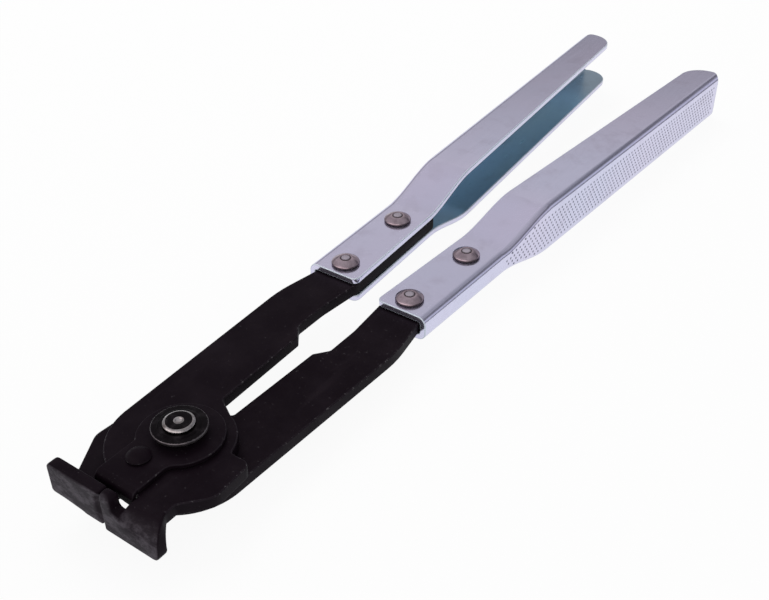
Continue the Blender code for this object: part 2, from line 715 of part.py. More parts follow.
def channel_section(y, depth):
    """(x, z) points round the channel at y, a depth inside its outer skin, between the flange edges."""
    web = along(y, [(HANDLE_FRONT_Y, WEB_FRONT_X), (FLARE_START_Y, WEB_FLARE_START_X),
                    (FLARE_END_Y, WEB_FLARE_END_X), (HANDLE_END_Y, WEB_END_X)])
    half = (CHANNEL_HEIGHT + (GRIP_HEIGHT - CHANNEL_HEIGHT) * flare(y)) / 2
    free = along(y, [(HANDLE_FRONT_Y, FLANGE_FRONT_X), (HANDLE_END_Y, FLANGE_END_X)]) - FLANGE_FRONT_X
    radius = FOLD_RADIUS - depth
    upper = [(web - FOLD_RADIUS + radius * math.sin(a), half - FOLD_RADIUS + radius * math.cos(a))
             for a in (math.pi / 2 * i / FOLD_STEPS for i in range(FOLD_STEPS + 1))]
    lower = [(x, -z) for x, z in reversed(upper)]
    return [(free, half - depth)] + upper + lower + [(free, depth - half)]


def handle_outline():
    """The handle seen from above, which trims both flanges: straight edge, round end, cut corner."""
    end_side_x = along(HANDLE_END_Y - HANDLE_END_CHAMFER, [(FLARE_END_Y, WEB_FLARE_END_X),
                                                           (HANDLE_END_Y, WEB_END_X)])
    beyond = WEB_END_X + OVERRUN
    return rounded([
        (FLANGE_FRONT_X, HANDLE_FRONT_Y, HANDLE_FRONT_CORNER),
        (beyond, HANDLE_FRONT_Y, 0),
        (beyond, HANDLE_END_Y - HANDLE_END_CHAMFER - OVERRUN, 0),
        (end_side_x, HANDLE_END_Y - HANDLE_END_CHAMFER, 0),
        (end_side_x - HANDLE_END_CHAMFER, HANDLE_END_Y, HANDLE_END_OUTER_CORNER),
        (FLANGE_END_X, HANDLE_END_Y, HANDLE_END_INNER_CORNER),
        (FLANGE_FLARE_END_X, FLARE_END_Y, FLANGE_EASE),
        (FLANGE_FLARE_START_X, FLARE_START_Y, FLANGE_EASE),
    ])


def make_handle(name, side, middle, parts, cutters):
    """A sheet channel round a tang: lofted with its folds and flare, trimmed to its outline, then drilled."""
    ys = [HANDLE_FRONT_Y - OVERRUN]
    ys += [FLARE_START_Y + (FLARE_END_Y - FLARE_START_Y) * i / FLARE_STEPS for i in range(FLARE_STEPS + 1)]
    ys.append(HANDLE_END_Y + OVERRUN)
    skins = [[[(side * x, y, middle + z) for x, z in channel_section(y, depth)] for y in ys]
             for depth in (0, SHEET)]
    handle = grid_solid(name, skins, parts)
    outline = handle_outline() if side > 0 else mirrored(handle_outline())
    reach = GRIP_HEIGHT / 2 + OVERRUN
    trim = prism(name + "_trim", outline, middle - reach, middle + reach, cutters)
    combine(handle, trim, "INTERSECT")
    for label, x, y in (("front", FRONT_RIVET_X, FRONT_RIVET_Y), ("rear", REAR_RIVET_X, REAR_RIVET_Y)):
        round_hole(handle, f"{name}_{label}_hole", side * x, y, RIVET_SHANK_RADIUS + GAP, middle - reach,
                   middle + reach, SMALL_TURN_STEPS, cutters)
    return handle


def make_handle_rivet(name, x, y, middle, parts):
    """A domed rivet through both flanges and the tang."""
    seat = CHANNEL_HEIGHT / 2 + GAP
    crown = dome(RIVET_HEAD_RADIUS, RIVET_HEAD_HEIGHT, RIVET_HEAD_RIM, middle + seat, 1)
    tail = dome(RIVET_TAIL_RADIUS, RIVET_TAIL_HEIGHT, RIVET_HEAD_RIM, middle - seat, -1)
    profile = crown + [
        (RIVET_HEAD_RADIUS, middle + seat),
        (RIVET_SHANK_RADIUS, middle + seat),
        (RIVET_SHANK_RADIUS, middle - seat),
        (RIVET_TAIL_RADIUS, middle - seat),
    ] + tail[::-1]
    rivet = turned(name, profile, SMALL_TURN_STEPS, parts)
    rivet.location = (x, y, 0)
    return rivet


def main():
    clear_scene()
    parts = new_collection("ear_clamp_pliers")
    cutters = new_collection("cutters")
    lower_middle = PLATE / 2
    upper_middle = UPPER_BOTTOM + PLATE / 2
    made = [
        (make_lower_arm(parts, cutters), BLACK_OXIDE),
        (make_upper_arm(parts, cutters), BLACK_OXIDE),
        (make_presser(parts, cutters), BLACK_OXIDE),
        (make_presser_rivet(parts), BLACK_OXIDE),
        (make_pivot_rivet(parts), BRIGHT_STEEL),
        (make_spacer(parts), DARK_STEEL),
        (make_washer(parts), DARK_STEEL),
        (make_handle("right_handle", 1, lower_middle, parts, cutters), ZINC_PLATE),
        (make_handle("left_handle", -1, upper_middle, parts, cutters), ZINC_PLATE),
    ]
    for label, side, middle in (("right", 1, lower_middle), ("left", -1, upper_middle)):
        for place, x, y in (("front", FRONT_RIVET_X, FRONT_RIVET_Y), ("rear", REAR_RIVET_X, REAR_RIVET_Y)):
            rivet = make_handle_rivet(f"{label}_handle_rivet_{place}", side * x, y, middle, parts)
            made.append((rivet, RIVET_STEEL))
    pivot = bpy.data.objects.new("pivot_axis", None)
    parts.objects.link(pivot)
    pivot.location = (0, PIVOT_Y, PIVOT_Z)
    for obj in list(parts.objects) + list(cutters.objects):
        if obj is not pivot:
            obj.parent = pivot
    for obj, finish in made:
        obj.data.materials.append(finish_material(finish))
        smooth(obj.data)


main()
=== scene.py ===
"""Ear clamp pliers, closed and lying flat on a pale floor: black stamped arms and zinc plated handles.

Lengths are metres and +Z is up. Every piece is drawn in the pivot's frame, whose origin is where the pivot's
axis meets the underside of the lower arm, and its mesh is then moved to its place in the world.
"""

import logging
import math
from collections.abc import Callable, Iterable, Sequence
from dataclasses import dataclass, field
from enum import Enum
from typing import Any

import bmesh
import bpy
from mathutils import Matrix, Vector
from mathutils.bvhtree import BVHTree


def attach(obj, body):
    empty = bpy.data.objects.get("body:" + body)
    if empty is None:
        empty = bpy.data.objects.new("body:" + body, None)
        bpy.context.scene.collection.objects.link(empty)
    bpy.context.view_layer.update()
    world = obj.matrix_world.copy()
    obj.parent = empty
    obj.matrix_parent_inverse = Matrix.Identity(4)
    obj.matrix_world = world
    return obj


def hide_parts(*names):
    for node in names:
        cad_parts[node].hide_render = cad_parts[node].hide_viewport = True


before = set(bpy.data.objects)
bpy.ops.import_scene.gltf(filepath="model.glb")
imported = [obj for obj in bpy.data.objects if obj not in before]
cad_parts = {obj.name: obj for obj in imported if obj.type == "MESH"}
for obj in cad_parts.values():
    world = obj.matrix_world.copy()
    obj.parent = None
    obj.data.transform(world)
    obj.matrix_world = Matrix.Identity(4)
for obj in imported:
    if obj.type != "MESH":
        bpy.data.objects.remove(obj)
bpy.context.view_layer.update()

log = logging.getLogger("pliers")

PIVOT = Vector((0, -0.12365, 0.00715))
GAP = 0.0003
MERGE = 0.000002
BOOLEAN_MERGE = 0.00001
OVERRUN = 0.002
PIVOT_BORE = 0.0035
HANDLE_RIVET_HOLE = 0.0025
HANDLE_RIVET_PLACES = ((0.0115, 0.0808), (0.0128, 0.1095))
PRESSER_RIVET_PLACE = (-0.0022, -0.0116)
WHITE = (1, 1, 1, 1)

Point2 = tuple[float, float]
Corner = tuple[float, float, float]
Point3 = tuple[float, float, float]


def eased(share: float) -> float:
    """A share held between 0 and 1 and made smooth at both ends."""
    share = min(max(share, 0), 1)
    return share * share * (3 - 2 * share)


def placed(name: str, data: bpy.types.ID) -> bpy.types.Object:
    """A new object in the scene's own collection.

    Args:
        name: The object's name.
        data: Its mesh, lamp or camera.

    Returns:
        The object.
    """
    made = bpy.data.objects.new(name, data)
    bpy.context.scene.collection.objects.link(made)
    return made


class Side(Enum):
    """Which half of the tool a piece belongs to."""

    LOWER = 1
    UPPER = -1

    @property
    def body(self) -> str:
        """The moving body that the pieces of this half ride on."""
        return f"{self.name.lower()}_side"

    @property
    def hand(self) -> str:
        """The word that this half's handle has in piece names."""
        return "right" if self is Side.LOWER else "left"


# Node graphs


class Wire:
    """A node's output that can be used in plain arithmetic."""

    def __init__(self, graph: "Graph", socket: bpy.types.NodeSocket) -> None:
        """Wraps a socket.

        Args:
            graph: The graph that the socket's node is in.
            socket: The output.
        """
        self.graph = graph
        self.socket = socket

    def __add__(self, other: Any) -> "Wire":
        """self + other."""
        return self.graph.math("ADD", self, other)

    def __radd__(self, other: Any) -> "Wire":
        """other + self."""
        return self.graph.math("ADD", other, self)

    def __sub__(self, other: Any) -> "Wire":
        """self - other."""
        return self.graph.math("SUBTRACT", self, other)

    def __rsub__(self, other: Any) -> "Wire":
        """other - self."""
        return self.graph.math("SUBTRACT", other, self)

    def __mul__(self, other: Any) -> "Wire":
        """self * other."""
        return self.graph.math("MULTIPLY", self, other)

    def __rmul__(self, other: Any) -> "Wire":
        """other * self."""
        return self.graph.math("MULTIPLY", other, self)

    def __truediv__(self, other: Any) -> "Wire":
        """self / other."""
        return self.graph.math("DIVIDE", self, other)

    def __gt__(self, other: Any) -> "Wire":
        """1 where self is greater than other, else 0."""
        return self.graph.math("GREATER_THAN", self, other)


class Graph:
    """A node tree and the few ways in which this file adds to it."""

    def __init__(self, tree: bpy.types.NodeTree) -> None:
        """Empties a tree.

        Args:
            tree: A shader or a geometry tree.
        """
        self.tree = tree
        tree.nodes.clear()

    def node(self, kind: str, settings: dict[str, Any] | None = None,
             inputs: dict[Any, Any] | None = None) -> bpy.types.Node:
        """Adds a node.

        Args:
            kind: The node's type name.
            settings: Its own settings, set before its sockets.
            inputs: Its sockets by name or place, each with a value or a Wire.

        Returns:
            The node.
        """
        made = self.tree.nodes.new(kind)
        for name, value in (settings or {}).items():
            if name == "stops":
                ramp = made.color_ramp
                while len(ramp.elements) < len(value):
                    ramp.elements.new(0.5)
                for element, (place, colour) in zip(ramp.elements, value):
                    element.position = place
                    element.color = colour if len(colour) == 4 else (*colour, 1)
            else:
                setattr(made, name, value)
        for name, value in (inputs or {}).items():
            if isinstance(value, Wire):
                self.tree.links.new(value.socket, made.inputs[name])
            else:
                made.inputs[name].default_value = value
        return made

    def wire(self, kind: str, settings: dict[str, Any] | None = None, inputs: dict[Any, Any] | None = None,
             output: Any = 0) -> Wire:
        """Adds a node and gives one of its outputs, by name or place."""
        return Wire(self, self.node(kind, settings, inputs).outputs[output])

    def math(self, operation: str, *values: Any) -> Wire:
        """A Math node's result."""
        return self.wire("ShaderNodeMath", {"operation": operation}, dict(enumerate(values)))

    def remap(self, value: Wire, low: float, high: float, to_low: float = 0, to_high: float = 1,
              smooth: bool = False) -> Wire:
        """A value moved from one range to another and held inside it.

        Args:
            value: The value.
            low: The start of its own range.
            high: The end of its own range.
            to_low: What the start becomes.
            to_high: What the end becomes.
            smooth: Whether both ends are eased.

        Returns:
            The new value.
        """
        kind = "SMOOTHSTEP" if smooth else "LINEAR"
        return self.wire("ShaderNodeMapRange", {"interpolation_type": kind},
                         {0: value, 1: low, 2: high, 3: to_low, 4: to_high})

    def part(self, vector: Wire, axis: str) -> Wire:
        """One part of a vector: X, Y or Z."""
        return self.wire("ShaderNodeSeparateXYZ", None, {0: vector}, axis)

    def blend(self, share: Any, first: Any, second: Any, how: str = "MIX") -> Wire:
        """Two colours mixed by a share."""
        return self.wire("ShaderNodeMix", {"data_type": "RGBA", "blend_type": how},
                         {0: share, 6: first, 7: second}, 2)


# Finishes


class Finish:
    """A procedural material. Each kind of finish draws its own maps on top of these helpers."""

    name: str

    def material(self) -> bpy.types.Material:
        """The finish as a material, made once.

        Returns:
            The material, shared by every piece that has the finish.
        """
        called = self.name + "_surface"
        found = bpy.data.materials.get(called)
        if found:
            return found
        made = bpy.data.materials.new(called)
        made.use_nodes = True
        graph = Graph(made.node_tree)
        place = graph.wire("ShaderNodeTexCoord", output="Object")
        shader = graph.node("ShaderNodeBsdfPrincipled")
        graph.node("ShaderNodeOutputMaterial", inputs={"Surface": Wire(graph, shader.outputs[0])})
        for socket, value in self.sockets(graph, place).items():
            if isinstance(value, Wire):
                graph.tree.links.new(value.socket, shader.inputs[socket])
            else:
                shader.inputs[socket].default_value = value
        return made

    def sockets(self, graph: Graph, place: Wire) -> dict[str, Any]:
        """The values and wires of the shader's sockets.

        Args:
            graph: The material's graph.
            place: Object coordinates.

        Returns:
            Socket names with what they get.
        """
        raise NotImplementedError

    @staticmethod
    def noise(graph: Graph, place: Wire, scale: float, detail: float = 3, rough: float = 0.55,
              stretch: Point3 = (1, 1, 1)) -> Wire:
        """A noise value over the surface, stretched along an axis where asked.

        Args:
            graph: The material's graph.
            place: Object coordinates.
            scale: How fine the noise is.
            detail: Its octaves.
            rough: How strong the finer octaves are.
            stretch: The scale along each axis.

        Returns:
            The noise, from 0 to 1.
        """
        if stretch != (1, 1, 1):
            place = graph.wire("ShaderNodeMapping", None, {"Vector": place, "Scale": stretch})
        return graph.wire("ShaderNodeTexNoise", None,
                          {"Vector": place, "Scale": scale, "Detail": detail, "Roughness": rough})

    @staticmethod
    def bump(graph: Graph, height: Wire, strength: float, distance: float) -> Wire:
        """A bumped normal from a height."""
        return graph.wire("ShaderNodeBump", None,
                          {"Strength": strength, "Distance": distance, "Height": height})


@dataclass(frozen=True)
class BlackOxide(Finish):
    """Blackened steel with a purple cast, dusty patches, fine grain and rubbed spots, and painted light on the
    jaws' front faces.
    """

    name: str = "black_oxide"
    deep: Point3 = (0.006, 0.003, 0.0055)
    dusty: Point3 = (0.014, 0.009, 0.013)
    rubbed: Point3 = (0.14, 0.13, 0.14)
    # Painted light: the lighter colour of the jaws' front faces, with smeared scuffs on it.
    jaw_dusty: Point3 = (0.085, 0.073, 0.087)
    jaw_y: tuple[float, float] = (-0.1452, -0.1485)
    # How much of the surface is rubbed: rubbed spots, and on the edges also a painted highlight.
    wear: float = 0.0

    def sockets(self, graph: Graph, place: Wire) -> dict[str, Any]:
        """Patches of dust, scuffs and rubbed spots over the deep black; the jaws' front faces get a lighter
        colour with smeared scuffs, painted light on the faces that turn to the front.

        Args:
            graph: The material's graph.
            place: Object coordinates.

        Returns:
            Socket names with what they get.
        """
        cloud = self.noise(graph, place, 90, 5, 0.6)
        grain = self.noise(graph, place, 2600, 2)
        speck = self.noise(graph, place, 900, 4, 0.7)
        scratch = self.noise(graph, place, 260, 3, 0.6, (1, 0.12, 1))
        smear = self.noise(graph, place, 280, 7, 0.78, (0.55, 1, 1))
        facing = graph.part(graph.wire("ShaderNodeTexCoord", output="Normal"), "Y")
        # Painted light on faces near the jaws' tips that turn to the front, partly smeared scuffs.
        front = graph.remap(facing, -0.25, -0.95) * graph.remap(graph.part(place, "Y"), *self.jaw_y)
        dust = graph.remap(cloud, 0.42, 0.72) * 0.5 + graph.remap(scratch, 0.6, 0.76) * 0.35
        # More rubbed spots where asked: on the edges they are rubbed metal and painted highlight both.
        rub = graph.remap(speck, 0.65 - 0.2 * self.wear, 0.72 - 0.14 * self.wear) * (0.35 + 0.5 * self.wear)
        colour = graph.blend(dust, (*self.deep, 1), (*self.dusty, 1))
        colour = graph.blend(front * (0.25 + graph.remap(smear, 0.46, 0.6) * 0.75), colour, (*self.jaw_dusty, 1))
        colour = graph.blend(rub, colour, (*self.rubbed, 1))
        rough = 0.5 - 0.12 * dust + 0.16 * (grain - 0.5)
        height = grain * 0.6 + speck * 0.4
        return {"Base Color": colour, "Roughness": rough, "Specular IOR Level": 0.06,
                "Normal": self.bump(graph, height, 0.35, 0.00008)}


@dataclass(frozen=True)
class DarkSteel(Finish):
    """Darkened turned steel, brown black, brighter in patches from use; the lighter edge finish is a painted
    highlight.
    """

    name: str = "dark_steel"
    deep: Point3 = (0.006, 0.004, 0.005)
    worn: Point3 = (0.06, 0.05, 0.055)

    def sockets(self, graph: Graph, place: Wire) -> dict[str, Any]:
        """Brighter patches from use, which in the edge finish are part of a painted highlight, and a fine grain.

        Args:
            graph: The material's graph.
            place: Object coordinates.

        Returns:
            Socket names with what they get.
        """
        cloud = self.noise(graph, place, 420, 4, 0.6)
        grain = self.noise(graph, place, 3000, 2)
        worn = graph.remap(cloud, 0.5, 0.75)
        colour = graph.blend(worn * 0.55, (*self.deep, 1), (*self.worn, 1))
        return {"Base Color": colour, "Metallic": 0.9, "Roughness": 0.36 + 0.2 * (grain - 0.5),
                "Normal": self.bump(graph, grain, 0.25, 0.00004)}


@dataclass(frozen=True)
class BareSteel(Finish):
    """Smooth peened steel, from bright to brownish, with faint handling marks."""

    name: str = "bright_steel"
    light: Point3 = (0.62, 0.59, 0.57)
    dull: Point3 = (0.22, 0.19, 0.18)
    patches: float = 500
    roughness: float = 0.24

    def sockets(self, graph: Graph, place: Wire) -> dict[str, Any]:
        """Dull patches on the light metal.

        Args:
            graph: The material's graph.
            place: Object coordinates.

        Returns:
            Socket names with what they get.
        """
        cloud = self.noise(graph, place, self.patches, 4, 0.6)
        grain = self.noise(graph, place, 2400, 3)
        dull = graph.remap(cloud, 0.38, 0.68)
        colour = graph.blend(dull, (*self.light, 1), (*self.dull, 1))
        return {"Base Color": colour, "Metallic": 1.0,
                "Roughness": self.roughness + 0.14 * dull + 0.12 * (grain - 0.5),
                "Normal": self.bump(graph, grain, 0.2, 0.00003)}


@dataclass(frozen=True)
class ZincPlate(Finish):
    """Satin zinc plating with a lavender or blue cast, faint stains and rolling lines."""

    name: str = "zinc_plate"
    light: Point3 = (0.84, 0.80, 0.98)
    stain: Point3 = (0.68, 0.64, 0.78)
    cast: Point3 = (0.79, 0.79, 0.97)
    roughness: float = 0.17
    metal: float = 0.92

    def sockets(self, graph: Graph, place: Wire) -> dict[str, Any]:
        """Stains and a drifting cast, with a soft grain along the sheet.

        Args:
            graph: The material's graph.
            place: Object coordinates.

        Returns:
            Socket names with what they get.
        """
        drift = self.noise(graph, place, 22, 2, 0.5)
        cloud = self.noise(graph, place, 130, 5, 0.62)
        lines = self.noise(graph, place, 900, 3, 0.6, (1, 0.06, 1))
        grain = self.noise(graph, place, 1500, 3)
        colour = graph.blend(graph.remap(drift, 0.35, 0.7), (*self.light, 1), (*self.cast, 1))
        colour = graph.blend(graph.remap(cloud, 0.52, 0.8) * 0.7, colour, (*self.stain, 1))
        rough = self.roughness + 0.10 * (cloud - 0.5) + 0.12 * (lines - 0.5)
        return {"Base Color": colour, "Metallic": self.metal, "Roughness": rough,
                "Normal": self.bump(graph, lines * 0.5 + grain * 0.5, 0.16, 0.00005)}


BLACK = BlackOxide()
# Lighter rounded edges: rubbed metal with a painted highlight along them.
BLACK_RUBBED_LIT_EDGE = BlackOxide(name="black_oxide_edge", deep=(0.014, 0.01, 0.014), wear=0.45)
DARK = DarkSteel()
# Painted highlight: a much lighter steel on rounded edges and the washer's rim, standing in for the light that
# they catch.
DARK_LIT_EDGE = DarkSteel(name="dark_steel_edge", deep=(0.13, 0.115, 0.12), worn=(0.36, 0.33, 0.34))
BRIGHT = BareSteel()
RIVET = BareSteel(name="rivet_steel", light=(0.6, 0.48, 0.52), dull=(0.38, 0.3, 0.33), roughness=0.17)
RIVET_MARK = BareSteel(name="rivet_steel_mark", light=(0.75, 0.68, 0.74), dull=(0.6, 0.54, 0.58),
                       roughness=0.35)
# A dark finish: painted shade in the groove of the crown's mark, and a darker band round the head's rim.
RIVET_RING = BareSteel(name="rivet_steel_ring", light=(0.14, 0.11, 0.12), dull=(0.1, 0.08, 0.085),
                       roughness=0.4)
ZINC = ZincPlate()
ZINC_EDGE = ZincPlate(name="zinc_plate_edge", light=(0.74, 0.8, 0.88), stain=(0.62, 0.68, 0.76),
                      cast=(0.7, 0.78, 0.88), roughness=0.4, metal=0.35)
# The channel's inner skin, darker and bluer: painted shade inside the channel, over the plating's blue cast.
ZINC_INSIDE_SHADED = ZincPlate(name="zinc_plate_inside", light=(0.48, 0.61, 0.68), stain=(0.38, 0.48, 0.54),
                        cast=(0.45, 0.61, 0.74), roughness=0.3)
# Painted shade: the grip's dots are coloured dark to stand in for the shading of the small bumps.
ZINC_SHADED_DOT = ZincPlate(name="zinc_plate_dot", light=(0.34, 0.33, 0.4), stain=(0.26, 0.25, 0.3),
                     cast=(0.32, 0.34, 0.42), roughness=0.42)


# Outlines


class Outline:
    """Plane outlines for stamped pieces."""

    STEP_DEG = 4.5

    @classmethod
    def arc(cls, centre: Point2, radius: float, start_deg: float, end_deg: float) -> list[Point2]:
        """Points of an arc, with both ends.

        Args:
            centre: Its centre.
            radius: Its radius.
            start_deg: The angle that it starts at.
            end_deg: The angle that it ends at.

        Returns:
            The points in order.
        """
        steps = max(2, math.ceil(abs(end_deg - start_deg) / cls.STEP_DEG))
        turns = [math.radians(start_deg + (end_deg - start_deg) * i / steps) for i in range(steps + 1)]
        return [(centre[0] + radius * math.cos(t), centre[1] + radius * math.sin(t)) for t in turns]

    @classmethod
    def rounded(cls, corners: Sequence[Corner]) -> list[Point2]:
        """An outline whose corners, given as (x, y, radius), are rounded by tangent arcs.

        Args:
            corners: The corners in order. A radius of 0 keeps one sharp.

        Returns:
            The points in order.
        """
        points: list[Point2] = []
        for i, (x, y, radius) in enumerate(corners):
            corner = Vector((x, y))
            if not radius:
                points.append((x, y))
                continue
            back = Vector(corners[i - 1][:2]) - corner
            ahead = Vector(corners[(i + 1) % len(corners)][:2]) - corner
            half = back.angle(ahead) / 2
            reach = min(radius / math.tan(half), back.length, ahead.length)
            middle = (back.normalized() + ahead.normalized()).normalized()
            centre = corner + middle * (reach * math.tan(half) / math.sin(half))
            spoke = corner + back.normalized() * reach - centre
            turn = spoke.angle_signed(corner + ahead.normalized() * reach - centre)
            steps = max(2, math.ceil(abs(math.degrees(turn)) / cls.STEP_DEG))
            for k in range(steps + 1):
                points.append(tuple(centre + Matrix.Rotation(-turn * k / steps, 2) @ spoke))
        return points

    @staticmethod
    def on(side: Side, points: Sequence[Point2]) -> list[Point2]:
        """An outline drawn for the lower half, mirrored for the upper one."""
        return list(points) if side is Side.LOWER else [(-x, y) for x, y in reversed(points)]

    @staticmethod
    def along(y: float, places: Sequence[Point2]) -> float:
        """The value at y on straight runs between (y, value) places.

        Args:
            y: The place on Y.
            places: The places in rising order of y.

        Returns:
            The value there.
        """
        for (y0, v0), (y1, v1) in zip(places, places[1:]):
            if y <= y1:
                break
        return v0 + (v1 - v0) * (y - y0) / (y1 - y0)


# Meshes


class Shape:
    """A closed mesh under construction, in the pivot's frame."""

    def __init__(self, name: str, mesh: bpy.types.Mesh) -> None:
        """Puts a mesh in the scene as an object.

        Args:
            name: The object's name.
            mesh: Its closed mesh.
        """
        self.object = placed(name, mesh)

    @classmethod
    def from_faces(cls, name: str, points: Sequence[Point3], faces: Sequence[Sequence[int]]) -> "Shape":
        """A shape from corners and faces, turned outward.

        Args:
            name: Its name.
            points: The corners.
            faces: The corners' places in that list, face by face.

        Returns:
            The shape.
        """
        mesh = bpy.data.meshes.new(name)
        mesh.from_pydata(points, [], faces)
        work = bmesh.new()
        work.from_mesh(mesh)
        bmesh.ops.remove_doubles(work, verts=work.verts, dist=MERGE)
        bmesh.ops.recalc_face_normals(work, faces=work.faces)
        if work.calc_volume(signed=True) < 0:
            bmesh.ops.reverse_faces(work, faces=work.faces)
        work.to_mesh(mesh)
        work.free()
        return cls(name, mesh)

    @classmethod
    def prism(cls, name: str, outline: Sequence[Point2], low: float, high: float, axis: str = "Z") -> "Shape":
        """A block between two places on an axis, from an outline in the other two.

        Args:
            name: Its name.
            outline: The outline, in the order X, Y, Z of the two axes left.
            low: The first place.
            high: The second place.
            axis: X, Y or Z.

        Returns:
            The shape.
        """
        count, at = len(outline), "XYZ".index(axis)
        points = [(*pair[:at], place, *pair[at:]) for place in (low, high) for pair in outline]
        faces = [list(range(count)), list(range(count, 2 * count))]
        faces += [[i, (i + 1) % count, count + (i + 1) % count, count + i] for i in range(count)]
        return cls.from_faces(name, points, faces)

    @classmethod
    def between(cls, name: str, skins: Sequence[Sequence[Sequence[Point3]]]) -> "Shape":
        """The wall between two like grids of points.

        Args:
            name: Its name.
            skins: The two grids, as rows of points.

        Returns:
            The shape.
        """
        rows, columns = len(skins[0]), len(skins[0][0])
        points = [point for skin in skins for row in skin for point in row]

        def at(skin: int, row: int, column: int) -> int:
            """The place of a grid's point in the list of all points."""
            return (skin * rows + row) * columns + column

        faces = []
        for s in range(2):
            for r in range(rows - 1):
                for c in range(columns - 1):
                    faces.append([at(s, r, c), at(s, r, c + 1), at(s, r + 1, c + 1), at(s, r + 1, c)])
        for r in range(rows - 1):
            for c in (0, columns - 1):
                faces.append([at(0, r, c), at(0, r + 1, c), at(1, r + 1, c), at(1, r, c)])
        for c in range(columns - 1):
            for r in (0, rows - 1):
                faces.append([at(0, r, c), at(0, r, c + 1), at(1, r, c + 1), at(1, r, c)])
        return cls.from_faces(name, points, faces)

    @classmethod
    def turned(cls, name: str, profile: Sequence[Point2], steps: int = 64,
               centre: Point2 = (0, 0)) -> "Shape":
        """A turned solid from (radius, z) points that run from the top down the outer side.

        Args:
            name: Its name.
            profile: The points. A first radius above 0 makes a ring.
            steps: Faces round it.
            centre: Its axis, in XY.

        Returns:
            The shape.
        """
        closed = profile[0][0] > 0
        points: list[Point3] = []
        for i in range(steps):
            turn = 2 * math.pi * i / steps
            points += [(centre[0] + r * math.cos(turn), centre[1] + r * math.sin(turn), z) for r, z in profile]
        count = len(profile)
        faces = []
        for i in range(steps):
            for k in range(count if closed else count - 1):
                after = (k + 1) % count
                faces.append([i * count + k, ((i + 1) % steps) * count + k,
                              ((i + 1) % steps) * count + after, i * count + after])
        return cls.from_faces(name, points, faces)

    def combine(self, other: "Shape", operation: str = "UNION") -> "Shape":
        """Joins, cuts or trims this shape with another one, which goes.

        Args:
            other: The other shape.
            operation: UNION, DIFFERENCE or INTERSECT.

        Returns:
            The shape itself.
        """
        step = self.object.modifiers.new(operation.lower(), "BOOLEAN")
        step.operation = operation
        step.solver = "EXACT"
        step.object = other.object
        self.apply()
        other.remove()
        return self

    def drill(self, holes: Iterable[Corner], low: float, high: float, steps: int = 32) -> "Shape":
        """Cuts upright holes, given as (x, y, radius), between two heights.

        Args:
            holes: The holes.
            low: Where they start.
            high: Where they end.
            steps: Faces round each.

        Returns:
            The shape itself.
        """
        for x, y, radius in holes:
            rod = Shape.turned("rod", [(0, high), (radius, high), (radius, low), (0, low)], steps, (x, y))
            self.combine(rod, "DIFFERENCE")
        return self

    def remove(self) -> None:
        """Deletes the object and its mesh."""
        mesh = self.object.data
        bpy.data.objects.remove(self.object)
        bpy.data.meshes.remove(mesh)

    def apply(self) -> None:
        """Makes the mesh what its modifiers show."""
        bpy.context.view_layer.update()
        shown = self.object.evaluated_get(bpy.context.evaluated_depsgraph_get())
        old = self.object.data
        mesh = bpy.data.meshes.new_from_object(shown)
        self.object.modifiers.clear()
        self.object.data = mesh
        bpy.data.meshes.remove(old)
        mesh.name = self.object.name

    def soften(self, voxel: float, rounds: int) -> "Shape":
        """Rounds every edge a little, by a fine even mesh that is relaxed.

        Args:
            voxel: The size of the even mesh's cells.
            rounds: How often it is relaxed.

        Returns:
            The shape itself.
        """
        even = self.object.modifiers.new("even", "REMESH")
        even.mode = "VOXEL"
        even.voxel_size = voxel
        relaxed = self.object.modifiers.new("relaxed", "SMOOTH")
        relaxed.factor = 0.5
        relaxed.iterations = rounds
        self.apply()
        return self

    def flatten(self, degrees: float = 0.4) -> "Shape":
        """Merges flat neighbouring faces, which a Boolean leaves cut up.

        Args:
            degrees: How far two faces may turn and still be merged.

        Returns:
            The shape itself.
        """
        work = bmesh.new()
        work.from_mesh(self.object.data)
        bmesh.ops.remove_doubles(work, verts=work.verts, dist=BOOLEAN_MERGE)
        bmesh.ops.dissolve_limit(work, angle_limit=math.radians(degrees), verts=work.verts, edges=work.edges)
        work.to_mesh(self.object.data)
        work.free()
        return self

    def dress(self, finish: Finish, edge: Finish | None = None, width: float = 0.0003, segments: int = 3,
              angle_deg: float = 38) -> "Shape":
        """Rounds the sharp edges and gives the faces their finish.

        Args:
            finish: The main finish.
            edge: The finish of the rounded edges, or none for the main one.
            width: How wide the edges are rounded, or 0 to leave them.
            segments: Faces across a rounded edge.
            angle_deg: Edges sharper than this are rounded.

        Returns:
            The shape itself.
        """
        mesh = self.object.data
        mesh.materials.clear()
        mesh.materials.append(finish.material())
        if edge:
            mesh.materials.append(edge.material())
        mesh.shade_smooth()
        before = BVHTree.FromPolygons([v.co for v in mesh.vertices], [f.vertices[:] for f in mesh.polygons])
        if width:
            bevel = self.object.modifiers.new("edges", "BEVEL")
            bevel.width = width
            bevel.segments = segments
            bevel.limit_method = "ANGLE"
            bevel.angle_limit = math.radians(angle_deg)
            bevel.use_clamp_overlap = False
            bevel.material = 1 if edge else -1
            self.apply()
            for vert in self.object.data.vertices:
                nearest, _, _, away = before.find_nearest(vert.co)
                if away > width / 2:
                    vert.co = nearest
            cut = self.object.modifiers.new("cut", "TRIANGULATE")
            cut.ngon_method = "BEAUTY"
            self.apply()
        even = self.object.modifiers.new("normals", "WEIGHTED_NORMAL")
        even.keep_sharp = True
        self.apply()
        return self

    def recolour(self, finish: Finish, chosen: Callable[[bpy.types.MeshPolygon], bool]) -> "Shape":
        """Gives another finish to the faces that a test chooses.

        Args:
            finish: The other finish.
            chosen: The test.

        Returns:
            The shape itself.
        """
        mesh = self.object.data
        mesh.materials.append(finish.material())
        index = len(mesh.materials) - 1
        for face in mesh.polygons:
            if chosen(face):
                face.material_index = index
        return self

